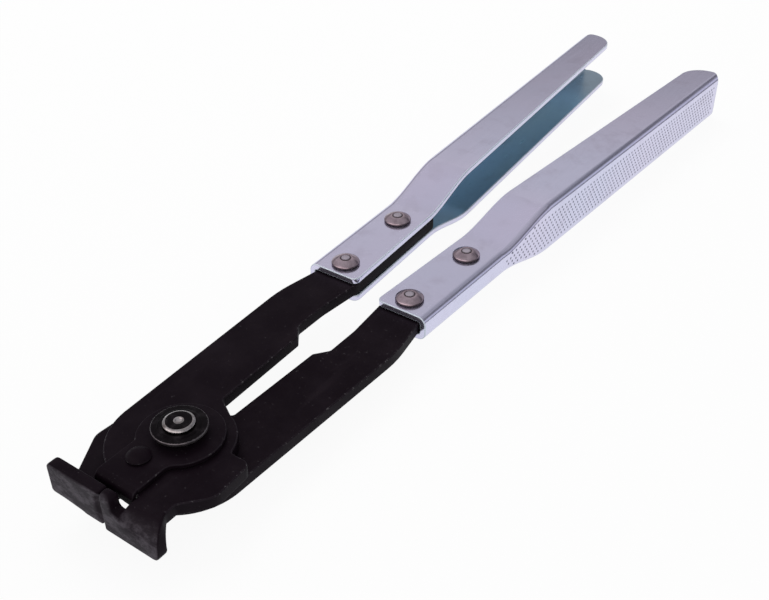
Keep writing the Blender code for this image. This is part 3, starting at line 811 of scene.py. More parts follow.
    def settle(self, side: Side, slot: str, *nodes: str) -> bpy.types.Object:
        """Moves the mesh from the pivot's frame to the world and hands it to the frame.

        Args:
            side: The half of the tool that it moves with.
            slot: The name of its material slot; not used.
            nodes: The solids that it stands for.

        Returns:
            The finished object.
        """
        self.object.data.transform(Matrix.Translation(PIVOT))
        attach(self.object, side.body)
        if nodes:
            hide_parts(*nodes)
        log.info("%s: %d faces", self.object.name, len(self.object.data.polygons))
        return self.object


# Arms and jaws


@dataclass
class Ear:
    """The lobe beside an arm's head and the neck that carries its jaw, on the side away from the handle."""

    rear_x: float
    side_x: float
    front_y: float
    neck_x: float
    neck_y: float
    rear_y: float = 0.0031
    notch_x: float = 0.0134
    notch_radius: float = 0.0009
    rear_radius: float = 0.0022
    front_radius: float = 0.005
    neck_radius: float = 0.0012


@dataclass
class ArmPlate:
    """The flat blank of an arm."""

    thickness: float = 0.0035
    head_radius: float = 0.0186
    neck_root_x: float = 0.003
    hub_radius: float = 0.0136
    hub_arc_deg: tuple[float, float] = (108, 163)
    throat: Corner = (0.0016, 0.0163, 0.0012)
    step: Corner = (0.0024, 0.0472, 0.001)
    waist_front: Corner = (0.0055, 0.0512, 0.002)
    waist_rear: Corner = (0.0055, 0.062, 0.012)
    tang_inner_front: Corner = (0.0041, 0.0764, 0.01)
    tang_inner_rear: Corner = (0.006, 0.121, 0.002)
    tang_outer_rear: Corner = (0.0195, 0.121, 0.002)
    tang_outer_front: Corner = (0.0182, 0.0764, 0.01)
    shoulder: Corner = (0.0209, 0.061, 0.04)

    def outline(self, ear: Ear, neck_end_y: float, neck_inner_x: float) -> list[Point2]:
        """The blank with its handle at +X, counterclockwise, down to the bend of its jaw.

        Args:
            ear: The arm's ear and neck.
            neck_end_y: Where the neck ends.
            neck_inner_x: How far the neck's inner edge is from the middle.

        Returns:
            The points in order.
        """
        hub = Outline.arc((0, 0), self.hub_radius, *self.hub_arc_deg)
        start = math.atan2(-math.sqrt(self.head_radius ** 2 - self.neck_root_x ** 2), -self.neck_root_x)
        head = Outline.arc((0, 0), self.head_radius, math.degrees(start), 0)
        back = Outline.rounded([
            (self.head_radius, 0, 0), self.shoulder, self.tang_outer_front, self.tang_outer_rear,
            self.tang_inner_rear, self.tang_inner_front, self.waist_rear, self.waist_front, self.step,
            self.throat, (*hub[0], 0)])
        lobe = Outline.rounded([
            (*hub[-1], 0),
            (-ear.notch_x, ear.rear_y, ear.notch_radius),
            (-ear.rear_x, ear.rear_y, ear.rear_radius),
            (-ear.side_x, ear.front_y, ear.front_radius),
            (-ear.neck_x, ear.neck_y, ear.neck_radius),
            (-ear.neck_x, neck_end_y, 0),
            (-neck_inner_x, neck_end_y, 0)])
        return back + hub[1:-1] + lobe + head[:-1]


@dataclass
class BentStrip:
    """A strip bent square off a plate, from its flat root round the bend to its free edge."""

    inner_x: float
    root_x: float
    width: float
    depth: float
    stock: float
    wall: float
    front_y: float
    corner: float
    lap: float
    radius: float
    tight_radius: float
    ease: float = 0.009
    inside_least: float = 0.0004
    bend_steps: int = 16
    corner_steps: int = 8
    columns: int = 14

    def radius_at(self, x: float) -> float:
        """The outer bend radius: tight beside the blade, wide beyond it."""
        return self.tight_radius + (self.radius - self.tight_radius) * eased((x - self.inner_x) / self.ease)

    def edge_x(self, turn: float, deep: float) -> float:
        """The strip's outer edge at a turn of the bend and a depth.

        Args:
            turn: The angle of the bend, in radians.
            deep: The depth below the plate's outer face.

        Returns:
            The place on X.
        """
        flared = self.root_x + (self.width - self.root_x) * math.sin(turn)
        over = max(deep - (self.depth - self.corner), 0)
        return flared - (self.corner - math.sqrt(max(self.corner ** 2 - over ** 2, 0)))

    def build(self, name: str, side: int, face: float, down: int, shift: float = 0) -> Shape:
        """The strip as a solid.

        Args:
            name: Its name.
            side: 1 where it lies at +X of its inner edge, -1 where at -X.
            face: The height of the plate's outer face.
            down: 1 where depth runs up from that face, -1 where down.
            shift: How far the whole strip moves along X.

        Returns:
            The shape.
        """
        outer: list[list[Point3]] = []
        inner: list[list[Point3]] = []

        def row(turn: float, place: Callable[[float], Point2]) -> list[Point3]:
            """One row of points across the strip.

            Args:
                turn: The angle of the bend, in radians.
                place: Gives y and depth for a place on X.

            Returns:
                The row's points.
            """
            right = self.edge_x(turn, place(self.inner_x)[1])
            made = []
            for c in range(self.columns + 1):
                x = self.inner_x + (right - self.inner_x) * c / self.columns
                y, deep = place(x)
                made.append((shift + side * x, y, face + down * deep))
            return made

        def inside(x: float) -> float:
            """The inner bend radius."""
            return max(self.radius_at(x) - self.stock, self.inside_least)

        root_y = self.front_y + max(self.radius_at(self.inner_x), self.radius_at(self.root_x)) + self.lap
        outer.append(row(0, lambda x: (root_y, 0)))
        inner.append(row(0, lambda x: (root_y, self.stock)))
        for i in range(self.bend_steps + 1):
            turn = math.pi / 2 * i / self.bend_steps
            near, low = 1 - math.sin(turn), 1 - math.cos(turn)
            outer.append(row(turn, lambda x: (self.front_y + self.radius_at(x) * near,
                                              self.radius_at(x) * low)))
            inner.append(row(turn, lambda x: (self.front_y + self.wall + inside(x) * near,
                                              self.stock + inside(x) * low)))
        for i in range(self.corner_steps + 1):
            deep = self.depth - self.corner * (1 - math.sin(math.pi / 2 * i / self.corner_steps))
            outer.append(row(math.pi / 2, lambda x: (self.front_y, deep)))
            inner.append(row(math.pi / 2, lambda x: (self.front_y + self.wall, deep)))
        return Shape.between(name, (outer, inner))


@dataclass
class Jaw:
    """The jaw at an arm's front: a bent strip and the blade beside the mating plane."""

    width: float
    depth: float
    neck_x: float
    wall: float
    bend_radius: float
    blade: list[Corner]
    front_y: float = -0.0263
    neck_inner_x: float = 0.0055
    tight_radius: float = 0.0045
    corner: float = 0.0015
    neck_lap: float = 0.003

    def build(self, plate: float, side: int, face: float, down: int) -> Shape:
        """The strip and the blade as one solid, still with sharp edges.

        Args:
            plate: The arm's thickness.
            side: 1 for a jaw at +X, -1 for one at -X.
            face: The height of the plate's outer face.
            down: 1 where the jaw runs up from that face, -1 where down.

        Returns:
            The shape.
        """
        strip = BentStrip(inner_x=self.neck_inner_x, root_x=self.neck_x, width=self.width, depth=self.depth,
                          stock=plate, wall=self.wall, front_y=self.front_y, corner=self.corner,
                          lap=self.neck_lap, radius=self.bend_radius, tight_radius=self.tight_radius)
        made = strip.build("strip", side, face, down)
        outline = [(side * x, face + down * d) for x, d in Outline.rounded(self.blade)]
        return made.combine(Shape.prism("blade", outline, self.front_y, self.front_y + self.wall, "Y"))


@dataclass
class JawArm:
    """An arm of the tool: tang, plate, head, ear and jaw in one stamped piece."""

    side: Side
    bottom: float
    ear: Ear
    jaw: Jaw
    plate: ArmPlate = field(default_factory=ArmPlate)
    bore_radius: float = PIVOT_BORE
    rivet_hole_radius: float = HANDLE_RIVET_HOLE
    rivet_places: tuple[Point2, Point2] = HANDLE_RIVET_PLACES
    edge: float = 0.00035
    voxel: float = 0.00018
    relax_rounds: int = 50
    scoop_radius: float = 0.0018
    scoop_front: float = 0.0006
    scoop_end: float = 0.0022
    scoop_steps: int = 8

    def build(self) -> bpy.types.Object:
        """Makes the arm, rounds its edges and hands it over.

        Returns:
            The finished arm.
        """
        sign = self.side.value
        top = self.bottom + self.plate.thickness
        outline = self.plate.outline(self.ear, self.jaw.front_y + self.jaw.bend_radius, self.jaw.neck_inner_x)
        node = f"{self.side.name.lower()}_jaw_arm"
        arm = Shape.prism(node + "_stamped", Outline.on(self.side, outline), self.bottom, top)
        holes = [(0, 0, self.bore_radius)]
        holes += [(sign * x, y, self.rivet_hole_radius) for x, y in self.rivet_places]
        arm.drill(holes, self.bottom - OVERRUN, top + OVERRUN)
        arm.flatten().dress(BLACK, BLACK_RUBBED_LIT_EDGE, self.edge)
        lower = self.side is Side.LOWER
        jaw = self.jaw.build(self.plate.thickness, -sign, *((self.bottom, 1) if lower else (top, -1)))
        jaw.combine(self.scoop() if lower else self.crown(top), "DIFFERENCE")
        arm.combine(jaw.soften(self.voxel, self.relax_rounds).dress(BLACK, None, 0))
        return arm.settle(self.side, "black_oxide", node)

    def crown(self, top: float) -> Shape:
        """The cutter that rounds the finger over from its front to its back.

        Args:
            top: The height of the plate's outer face.

        Returns:
            The cutter.
        """
        radius = self.jaw.wall / 2
        tip = top - min(d for _, d, _ in self.jaw.blade)
        front = self.jaw.front_y
        near, far = front - OVERRUN, front + self.jaw.wall + OVERRUN
        outline = Outline.arc((front + radius, tip - radius), radius, 0, 180)
        outline += [(near, tip - radius), (near, tip + OVERRUN), (far, tip + OVERRUN), (far, tip - radius)]
        return Shape.prism("crown", outline, -OVERRUN, self.jaw.blade[2][0] + GAP, "X")

    def scoop(self) -> Shape:
        """The hollow in the lower jaw's mating end, which closes at its tip and crown.

        Returns:
            The cutter.
        """
        arc = [(self.scoop_radius * math.sin(t), self.scoop_end * math.cos(t))
               for t in (math.pi / 2 / self.scoop_steps * i for i in range(self.scoop_steps + 1))]
        top = [(r, self.jaw.depth - self.scoop_end + z) for r, z in arc]
        low = [(r, self.scoop_end - z) for r, z in reversed(arc)]
        return Shape.turned("scoop", top + low, 40, (0, self.jaw.front_y - self.scoop_front))


# The presser and the pivot


@dataclass
class EarPresser:
    """The thin plate round the pivot whose tongue and lip hold the clamp's ear down."""

    bottom: float
    sheet: float = 0.0012
    radius: float = 0.011
    bore_radius: float = PIVOT_BORE
    tongue_left_x: float = 0.0075
    tongue_right_x: float = 0.0054
    root_radius: float = 0.003
    lip_front_y: float = -0.0211
    lip_right_x: float = 0.0052
    lip_depth: float = 0.0041
    lip_bend: float = 0.0022
    lip_corner: float = 0.0008
    lip_lap: float = 0.001
    rivet_place: Point2 = PRESSER_RIVET_PLACE
    rivet_bore: float = 0.0022
    edge: float = 0.00025

    def build(self) -> bpy.types.Object:
        """Makes the ring, the tongue and its lip.

        Returns:
            The finished presser.
        """
        top = self.bottom + self.sheet
        tongue_end = self.lip_front_y + self.lip_bend
        left = math.atan2(-math.sqrt(self.radius ** 2 - self.tongue_left_x ** 2), -self.tongue_left_x)
        right_y = -math.sqrt(self.radius ** 2 - self.tongue_right_x ** 2)
        right = math.atan2(right_y, self.tongue_right_x)
        flare = self.root_radius / self.radius
        ring = Outline.arc((0, 0), self.radius, math.degrees(right + flare), math.degrees(left) + 360)
        tongue = Outline.rounded([
            (*ring[-1], 0),
            (-self.tongue_left_x, tongue_end, 0),
            (self.tongue_right_x, tongue_end, 0),
            (self.tongue_right_x, right_y, self.root_radius),
            (*ring[0], 0)])
        plate = Shape.prism("ear_presser_stamped", ring[1:-1] + tongue, self.bottom, top)
        half = (self.lip_right_x + self.tongue_left_x) / 2
        lip = BentStrip(inner_x=-half, root_x=half, width=half, depth=self.lip_depth, stock=self.sheet,
                        wall=self.sheet, front_y=self.lip_front_y, corner=self.lip_corner, lap=self.lip_lap,
                        radius=self.lip_bend, tight_radius=self.lip_bend)
        plate.combine(lip.build("lip", 1, top, -1, (self.lip_right_x - self.tongue_left_x) / 2))
        holes = [(0, 0, self.bore_radius), (*self.rivet_place, self.rivet_bore)]
        plate.drill(holes, self.bottom - OVERRUN, top + OVERRUN, 40)
        plate.flatten().dress(BLACK, BLACK_RUBBED_LIT_EDGE, self.edge)
        return plate.settle(Side.UPPER, "black_oxide", "ear_presser")


def dome(radius: float, height: float, rim: float, base: float, up: int, steps: int = 8) -> list[Point2]:
    """(radius, z) points of a domed head from its crown to its rim.

    Args:
        radius: The head's radius.
        height: Its whole height.
        rim: The height of the straight part at its foot.
        base: The height of the face that it sits on.
        up: 1 for a head above that face, -1 for one below it.
        steps: Rings between crown and rim.

    Returns:
        The points.
    """
    rise = height - rim
    ball = (radius ** 2 + rise ** 2) / (2 * rise)
    spread = math.asin(radius / ball)
    return [(ball * math.sin(spread * i / steps),
             base + up * (rim + rise - ball + ball * math.cos(spread * i / steps)))
            for i in range(steps + 1)]


@dataclass
class PivotStack:
    """The pivot rivet with its spacer and washer, and the presser's own rivet."""

    upper_bottom: float
    presser_top: float
    shank_radius: float = 0.0032
    head_radius: float = 0.004
    head_top_radius: float = 0.0033
    head_height: float = 0.0008
    dimple_radius: float = 0.0011
    dimple_depth: float = 0.0004
    foot_radius: float = 0.0065
    foot_height: float = 0.0018
    spacer_radius: float = 0.0052
    spacer_height: float = 0.0013
    washer_radius: float = 0.007
    washer_height: float = 0.001
    collar_radius: float = 0.0051
    collar_height: float = 0.0002
    # The band at the washer's rim that gets the painted highlight.
    rim_wear: float = 0.0002
    flat_slack: float = 0.00002
    rivet_place: Point2 = PRESSER_RIVET_PLACE
    rivet_radius: float = 0.0031
    rivet_height: float = 0.0019
    rivet_shank: float = 0.0019
    sink_radius: float = 0.0029
    sink_depth: float = 0.001

    def build(self) -> None:
        """Makes all four pieces."""
        bore = self.shank_radius + GAP
        low = self.presser_top + GAP
        high = low + self.spacer_height
        spacer = Shape.turned("pivot_spacer_turned", [(bore, high), (self.spacer_radius, high),
                                                      (self.spacer_radius, low), (bore, low)])
        # The spacer's rounded edges get the painted highlight finish.
        spacer.dress(DARK, DARK_LIT_EDGE, 0.00012, 2).settle(Side.LOWER, "dark_steel", "pivot_spacer")
        low = high + GAP
        high = low + self.washer_height
        crown = high + self.collar_height
        washer = Shape.turned("pivot_washer_turned", [
            (bore, crown), (self.collar_radius, crown), (self.collar_radius + self.collar_height, high),
            (self.washer_radius, high), (self.washer_radius, low), (bore, low)])
        washer.dress(DARK, None, 0.00025, 3)
        # Painted highlight: the washer's outer rim gets the lighter edge finish.
        washer.recolour(DARK_LIT_EDGE, lambda face: face.center.to_2d().length > self.washer_radius - self.rim_wear)
        washer.settle(Side.LOWER, "dark_steel", "pivot_washer")
        seat = crown + GAP
        top = seat + self.head_height
        head = Shape.turned("pivot_rivet_turned", [
            (0, top - self.dimple_depth), (self.dimple_radius * 0.55, top - self.dimple_depth * 0.9),
            (self.dimple_radius * 0.85, top - self.dimple_depth * 0.4), (self.dimple_radius, top),
            (self.head_top_radius, top), (self.head_radius, top - self.head_height * 0.45),
            (self.head_radius, seat), (self.shank_radius, seat), (self.shank_radius, -GAP),
            (self.foot_radius, -GAP), (self.foot_radius, -GAP - self.foot_height), (0, -GAP - self.foot_height)])
        head.dress(BRIGHT, None, 0.00018, 2, 25)
        head.recolour(DARK, self.dark_face(top)).settle(Side.LOWER, "bright_steel", "pivot_rivet")
        self.build_presser_rivet()

    def dark_face(self, top: float) -> Callable[[bpy.types.MeshPolygon], bool]:
        """A test for the faces of the head's flat top, outside the dimple.

        Args:
            top: The height of the head's flat.

        Returns:
            The test.
        """
        def chosen(face: bpy.types.MeshPolygon) -> bool:
            """Whether a face lies on the flat, outside the dimple.

            Args:
                face: The face.

            Returns:
                Whether it lies there.
            """
            reach = face.center.to_2d().length
            return (face.center.z > top - self.flat_slack and face.normal.z > 0.99
                    and self.dimple_radius < reach < self.head_top_radius)
        return chosen

    def build_presser_rivet(self) -> None:
        """The small domed rivet on the presser's tongue."""
        base = self.presser_top + GAP
        end = self.upper_bottom + GAP / 2
        profile = dome(self.rivet_radius, self.rivet_height, GAP, base, 1) + [
            (self.rivet_radius, base), (self.rivet_shank, base),
            (self.rivet_shank, self.upper_bottom + self.sink_depth), (self.sink_radius, end), (0, end)]
        rivet = Shape.turned("presser_rivet_turned", profile, 40, self.rivet_place)
        rivet.dress(BLACK, BLACK_RUBBED_LIT_EDGE, 0.0001, 2).settle(Side.UPPER, "black_oxide", "presser_rivet")


# Handles


@dataclass
class ChannelHandle:
    """A sheet channel folded round a tang, flared to the grip's height and dotted on its web."""

    side: Side
    middle: float
    sheet: float = 0.0019
    front_y: float = 0.0752
    end_y: float = 0.2736
    fold_radius: float = 0.0027
    flare_y: tuple[float, float] = (0.117, 0.144)
    tang_height: float = 0.0079
    grip_height: float = 0.0178
    web: tuple[Point2, ...] = ((0.0752, 0.0207), (0.117, 0.0221), (0.144, 0.0236), (0.2736, 0.0303))
    flange: tuple[Point2, ...] = ((0.0752, 0.0036), (0.117, 0.0058), (0.144, 0.0075), (0.2736, 0.0174))
    flange_ease: float = 0.06
    front_corner: float = 0.002
    end_inner_corner: float = 0.0092
    end_outer_corner: float = 0.0025
    end_chamfer: float = 0.0028
    rivet_places: tuple[Point2, Point2] = HANDLE_RIVET_PLACES
    rivet_hole_radius: float = HANDLE_RIVET_HOLE
    edge: float = 0.00028
    flat_deg: float = 0.2
    fold_steps: int = 10
    flare_steps: int = 24

    def section(self, y: float, depth: float) -> list[Point2]:
        """(x, z) points round the channel at y, a depth inside its outer skin.

        Args:
            y: The place on Y.
            depth: How far inside the outer skin.

        Returns:
            The points from one free edge to the other.
        """
        share = eased((y - self.flare_y[0]) / (self.flare_y[1] - self.flare_y[0]))
        half = (self.tang_height + (self.grip_height - self.tang_height) * share) / 2
        web = Outline.along(y, self.web)
        first, last = self.flange[0], self.flange[-1]
        free = Outline.along(y, (first, last)) - first[1]
        radius = self.fold_radius - depth
        turns = [math.pi / 2 * i / self.fold_steps for i in range(self.fold_steps + 1)]
        upper = [(web - self.fold_radius + radius * math.sin(t),
                  half - self.fold_radius + radius * math.cos(t)) for t in turns]
        return [(free, half - depth), *upper, *[(x, -z) for x, z in reversed(upper)], (free, depth - half)]

    def outline(self) -> list[Point2]:
        """The handle seen from above, which trims both flanges.

        Returns:
            The points in order.
        """
        cut_y = self.end_y - self.end_chamfer
        cut_x = Outline.along(cut_y, self.web)
        beyond = self.web[-1][1] + OVERRUN
        return Outline.rounded([
            (self.flange[0][1], self.front_y, self.front_corner),
            (beyond, self.front_y, 0),
            (beyond, cut_y - OVERRUN, 0),
            (cut_x, cut_y, 0),
            (cut_x - self.end_chamfer, self.end_y, self.end_outer_corner),
            (self.flange[3][1], self.end_y, self.end_inner_corner),
            (self.flange[2][1], self.flare_y[1], self.flange_ease),
            (self.flange[1][1], self.flare_y[0], self.flange_ease)])

    def build(self) -> None:
        """Makes the channel, its dots and its rivets."""
        sign = self.side.value
        ys = [self.front_y - OVERRUN]
        ys += [self.flare_y[0] + (self.flare_y[1] - self.flare_y[0]) * i / self.flare_steps
               for i in range(self.flare_steps + 1)]
        ys.append(self.end_y + OVERRUN)
        skins = [[[(sign * x, y, self.middle + z) for x, z in self.section(y, depth)] for y in ys]
                 for depth in (0, self.sheet)]
        name = f"{self.side.hand}_handle"
        channel = Shape.between(name + "_channel", skins)
        reach = self.grip_height / 2 + OVERRUN
        low, high = self.middle - reach, self.middle + reach
        trim = Shape.prism("trim", Outline.on(self.side, self.outline()), low, high)
        channel.combine(trim, "INTERSECT")
        channel.drill([(sign * x, y, self.rivet_hole_radius) for x, y in self.rivet_places], low, high)
        channel.flatten(self.flat_deg).dress(ZINC, ZINC_EDGE, self.edge)
        # Painted shade: the inner skin of the channel gets the darker, bluer finish.
        channel.recolour(ZINC_INSIDE_SHADED, self.is_inside)
        channel.settle(self.side, "zinc_plate", name)
        self.build_dots()
        self.build_rivets()

    def is_inside(self, face: bpy.types.MeshPolygon) -> bool:
        """Whether a face belongs to the channel's inner skin.

        Args:
            face: The face.

        Returns:
            Whether it does.
        """
        x, y, z = self.side.value * face.center.x, face.center.y, face.center.z - self.middle
        if face.material_index == 1:
            return False
        nx, nz = self.side.value * face.normal.x, face.normal.z
        web = Outline.along(y, self.web)
        if abs(nx) > abs(nz):
            inward = -nx if x > web - self.sheet * 1.5 else 0
        else:
            inward = -nz * (1 if z > 0 else -1)
        return inward > 0.5 and x < web - self.sheet * 0.5 and self.front_y < y < self.end_y

    def build_dots(self) -> None:
        """The staggered raised dots that roughen the grip."""
        dots = DotRows(self.side.value, self.middle, self.web, self.flare_y,
                       (self.tang_height / 2 - self.fold_radius, self.grip_height / 2 - self.fold_radius))
        shape = dots.build(f"{self.side.hand}_handle_dots")
        shape.settle(self.side, "zinc_plate")

    def build_rivets(self) -> None:
        """The two domed rivets that hold the handle on its tang."""
        seat = self.tang_height / 2 + GAP
        places = tuple((self.side.value * x, y) for x, y in self.rivet_places)
        rivets = HandleRivets(self.middle, seat, places)
        hand = self.side.hand
        shape = rivets.build(f"{hand}_handle_rivets")
        shape.settle(self.side, "rivet_steel", f"{hand}_handle_rivet_front", f"{hand}_handle_rivet_rear")


class NodeShape:
    """Turns a geometry tree into a plain mesh."""

    @staticmethod
    def make(name: str, inputs: dict[str, tuple[str, Any]],
             draw: Callable[[Graph, dict[str, Wire]], Wire]) -> Shape:
        """Builds a tree, sets its inputs on a modifier and keeps the mesh that it gives.

        Args:
            name: The piece's name.
            inputs: Input names with their socket types and values.
            draw: Adds the nodes, and returns the geometry.

        Returns:
            The shape, with no modifier left.
        """
        tree = bpy.data.node_groups.new(name, "GeometryNodeTree")
        graph = Graph(tree)
        tree.interface.new_socket("Geometry", in_out="OUTPUT", socket_type="NodeSocketGeometry")
        sockets = {key: tree.interface.new_socket(key, in_out="INPUT", socket_type=kind)
                   for key, (kind, _) in inputs.items()}
        entry = graph.node("NodeGroupInput")
        wires = {key: Wire(graph, entry.outputs[key]) for key in inputs}
        graph.node("NodeGroupOutput", inputs={0: draw(graph, wires)})
        shape = Shape(name, bpy.data.meshes.new(name))
        step = shape.object.modifiers.new("nodes", "NODES")
        step.node_group = tree
        for key, (_, value) in inputs.items():
            step[sockets[key].identifier] = value
        shape.apply()
        return shape


@dataclass
class DotRows:
    """Rows of low dots on a channel's web, each second row shifted by half a pitch."""

    sign: int
    middle: float
    web: tuple[Point2, ...]
    flare_y: tuple[float, float]
    flat_half: tuple[float, float]
    rows: int = 8
    columns: int = 72
    pitch: float = 0.00208
    row_gap: float = 0.00146
    start_y: float = 0.1185
    over: float = 0.0006
    radius: float = 0.00041
    height: float = 0.0001
    segments: int = 8
    rings: int = 5

    def build(self, name: str) -> Shape:
        """Makes the dots as one mesh.

        Args:
            name: The piece's name.

        Returns:
            The dots.
        """
        inputs = {"Rows": ("NodeSocketInt", self.rows), "Columns": ("NodeSocketInt", self.columns)}
        sizes = {"Pitch": self.pitch, "Row Gap": self.row_gap, "Start": self.start_y,
                 "Radius": self.radius, "Height": self.height}
        inputs |= {key: ("NodeSocketFloat", value) for key, value in sizes.items()}
        shape = NodeShape.make(name, inputs, self.draw)
        shape.object.data.shade_smooth()
        return shape

    def draw(self, graph: Graph, given: dict[str, Wire]) -> Wire:
        """The tree: points in staggered rows on the web, a flat ball on each.

        Args:
            graph: The geometry tree's graph.
            given: The tree's inputs by name.

        Returns:
            The dots' geometry.
        """
        count = given["Rows"] * given["Columns"]
        index = graph.wire("GeometryNodeInputIndex")
        row = graph.math("FLOOR", (index + 0.5) / given["Columns"])
        column = index - row * given["Columns"]
        stagger = graph.math("MODULO", row, 2.0) * 0.5
        y = given["Start"] + (column + stagger) * given["Pitch"]
        z = (row - (given["Rows"] - 1) * 0.5) * given["Row Gap"]
        (y0, x0), (y1, x1), (y2, x2) = self.web[1], self.web[2], self.web[3]
        x = graph.remap(y, y0, y1, x0, x1) + graph.remap(y, y1, y2, 0.0, x2 - x1)
        room = graph.remap(y, *self.flare_y, *self.flat_half, smooth=True) + self.over
        place = graph.wire("ShaderNodeCombineXYZ", None, {0: x * self.sign, 1: y, 2: z + self.middle})
        points = graph.wire("GeometryNodePoints", None, {"Count": count, "Position": place})
        outside = graph.math("ABSOLUTE", z) > room
        kept = graph.wire("GeometryNodeDeleteGeometry", {"domain": "POINT"},
                          {"Geometry": points, "Selection": outside})
        ball = graph.wire("GeometryNodeMeshUVSphere", None,
                          {"Segments": self.segments, "Rings": self.rings, "Radius": 1.0})
        size = graph.wire("ShaderNodeCombineXYZ", None,
                          {0: given["Height"], 1: given["Radius"], 2: given["Radius"]})
        dots = graph.wire("GeometryNodeInstanceOnPoints", None,
                          {"Points": kept, "Instance": ball, "Scale": size})
        real = graph.wire("GeometryNodeRealizeInstances", None, {"Geometry": dots})
        # The dots take the dark finish, painted shade for the bumps.
        return graph.wire("GeometryNodeSetMaterial", None,
                          {"Geometry": real, "Material": ZINC_SHADED_DOT.material()})


@dataclass
class HandleRivets:
    """Two domed rivets through a handle, with the ring that the setting tool left on each crown."""

    middle: float
    seat: float
    places: tuple[Point2, ...]
    head_radius: float = 0.0042
    head_height: float = 0.002
    rim: float = 0.0005
    shank_radius: float = 0.0022
    tail_radius: float = 0.0038
    tail_height: float = 0.0015
    mark_radius: float = 0.0016
    mark_depth: float = 0.00022
    mark_width: float = 0.00022
    mark_share: float = 0.8
    dish_share: float = 0.3
    rim_share: float = 0.975
    edge: float = 0.00022

    def profile(self) -> list[Point2]:
        """(radius, z) points of one rivet round the height of the tang's middle.

        Returns:
            The points from the crown to the tail.
        """
        crown = dome(self.head_radius, self.head_height, self.rim, self.seat, 1, 16)
        marked = []
        for radius, z in crown:
            inside = radius < self.mark_radius
            ring = math.exp(-((radius - self.mark_radius) / self.mark_width) ** 2) * self.mark_depth
            marked.append((radius, z - ring - (self.mark_depth * self.dish_share if inside else 0)))
        tail = dome(self.tail_radius, self.tail_height, self.rim, -self.seat, -1)
        return marked + [(self.head_radius, self.seat), (self.shank_radius, self.seat),
                         (self.shank_radius, -self.seat), (self.tail_radius, -self.seat)] + tail[::-1]

    def build(self, name: str) -> Shape:
        """Makes both rivets as one mesh.

        Args:
            name: The piece's name.

        Returns:
            The rivets.
        """
        model = Shape.turned(name + "_model", self.profile(), 48)
        model.dress(RIVET, None, self.edge, 3, 45)
        # The mark's groove gets the dark finish as painted shade, its middle the lighter mark finish, and the
        # head's rim the dark finish too.
        for finish, near, far in ((RIVET_RING, 0, self.mark_radius),
                                  (RIVET_MARK, 0, self.mark_radius * self.mark_share),
                                  (RIVET_RING, self.head_radius * self.rim_share, math.inf)):
            model.recolour(finish, lambda face: face.center.z > 0
                           and near <= face.center.to_2d().length < far)
        (x0, y0), (x1, y1) = self.places
        inputs = {
            "Rivet": ("NodeSocketObject", model.object),
            "Front": ("NodeSocketVector", (x0, y0, self.middle)),
            "Step": ("NodeSocketVector", (x1 - x0, y1 - y0, 0.0)),
        }
        shape = NodeShape.make(name, inputs, self.draw)
        model.remove()
        return shape

    def draw(self, graph: Graph, given: dict[str, Wire]) -> Wire:
        """The tree: the model on two points of a line.

        Args:
            graph: The geometry tree's graph.
            given: The tree's inputs by name.

        Returns:
            The rivets' geometry.
        """
        line = graph.wire("GeometryNodeMeshLine", {"mode": "OFFSET"},
                          {"Count": len(self.places), "Start Location": given["Front"],
                           "Offset": given["Step"]})
        model = graph.wire("GeometryNodeObjectInfo", None, {"Object": given["Rivet"]}, "Geometry")
        rivets = graph.wire("GeometryNodeInstanceOnPoints", None, {"Points": line, "Instance": model})
        return graph.wire("GeometryNodeRealizeInstances", None, {"Geometry": rivets})


# The studio


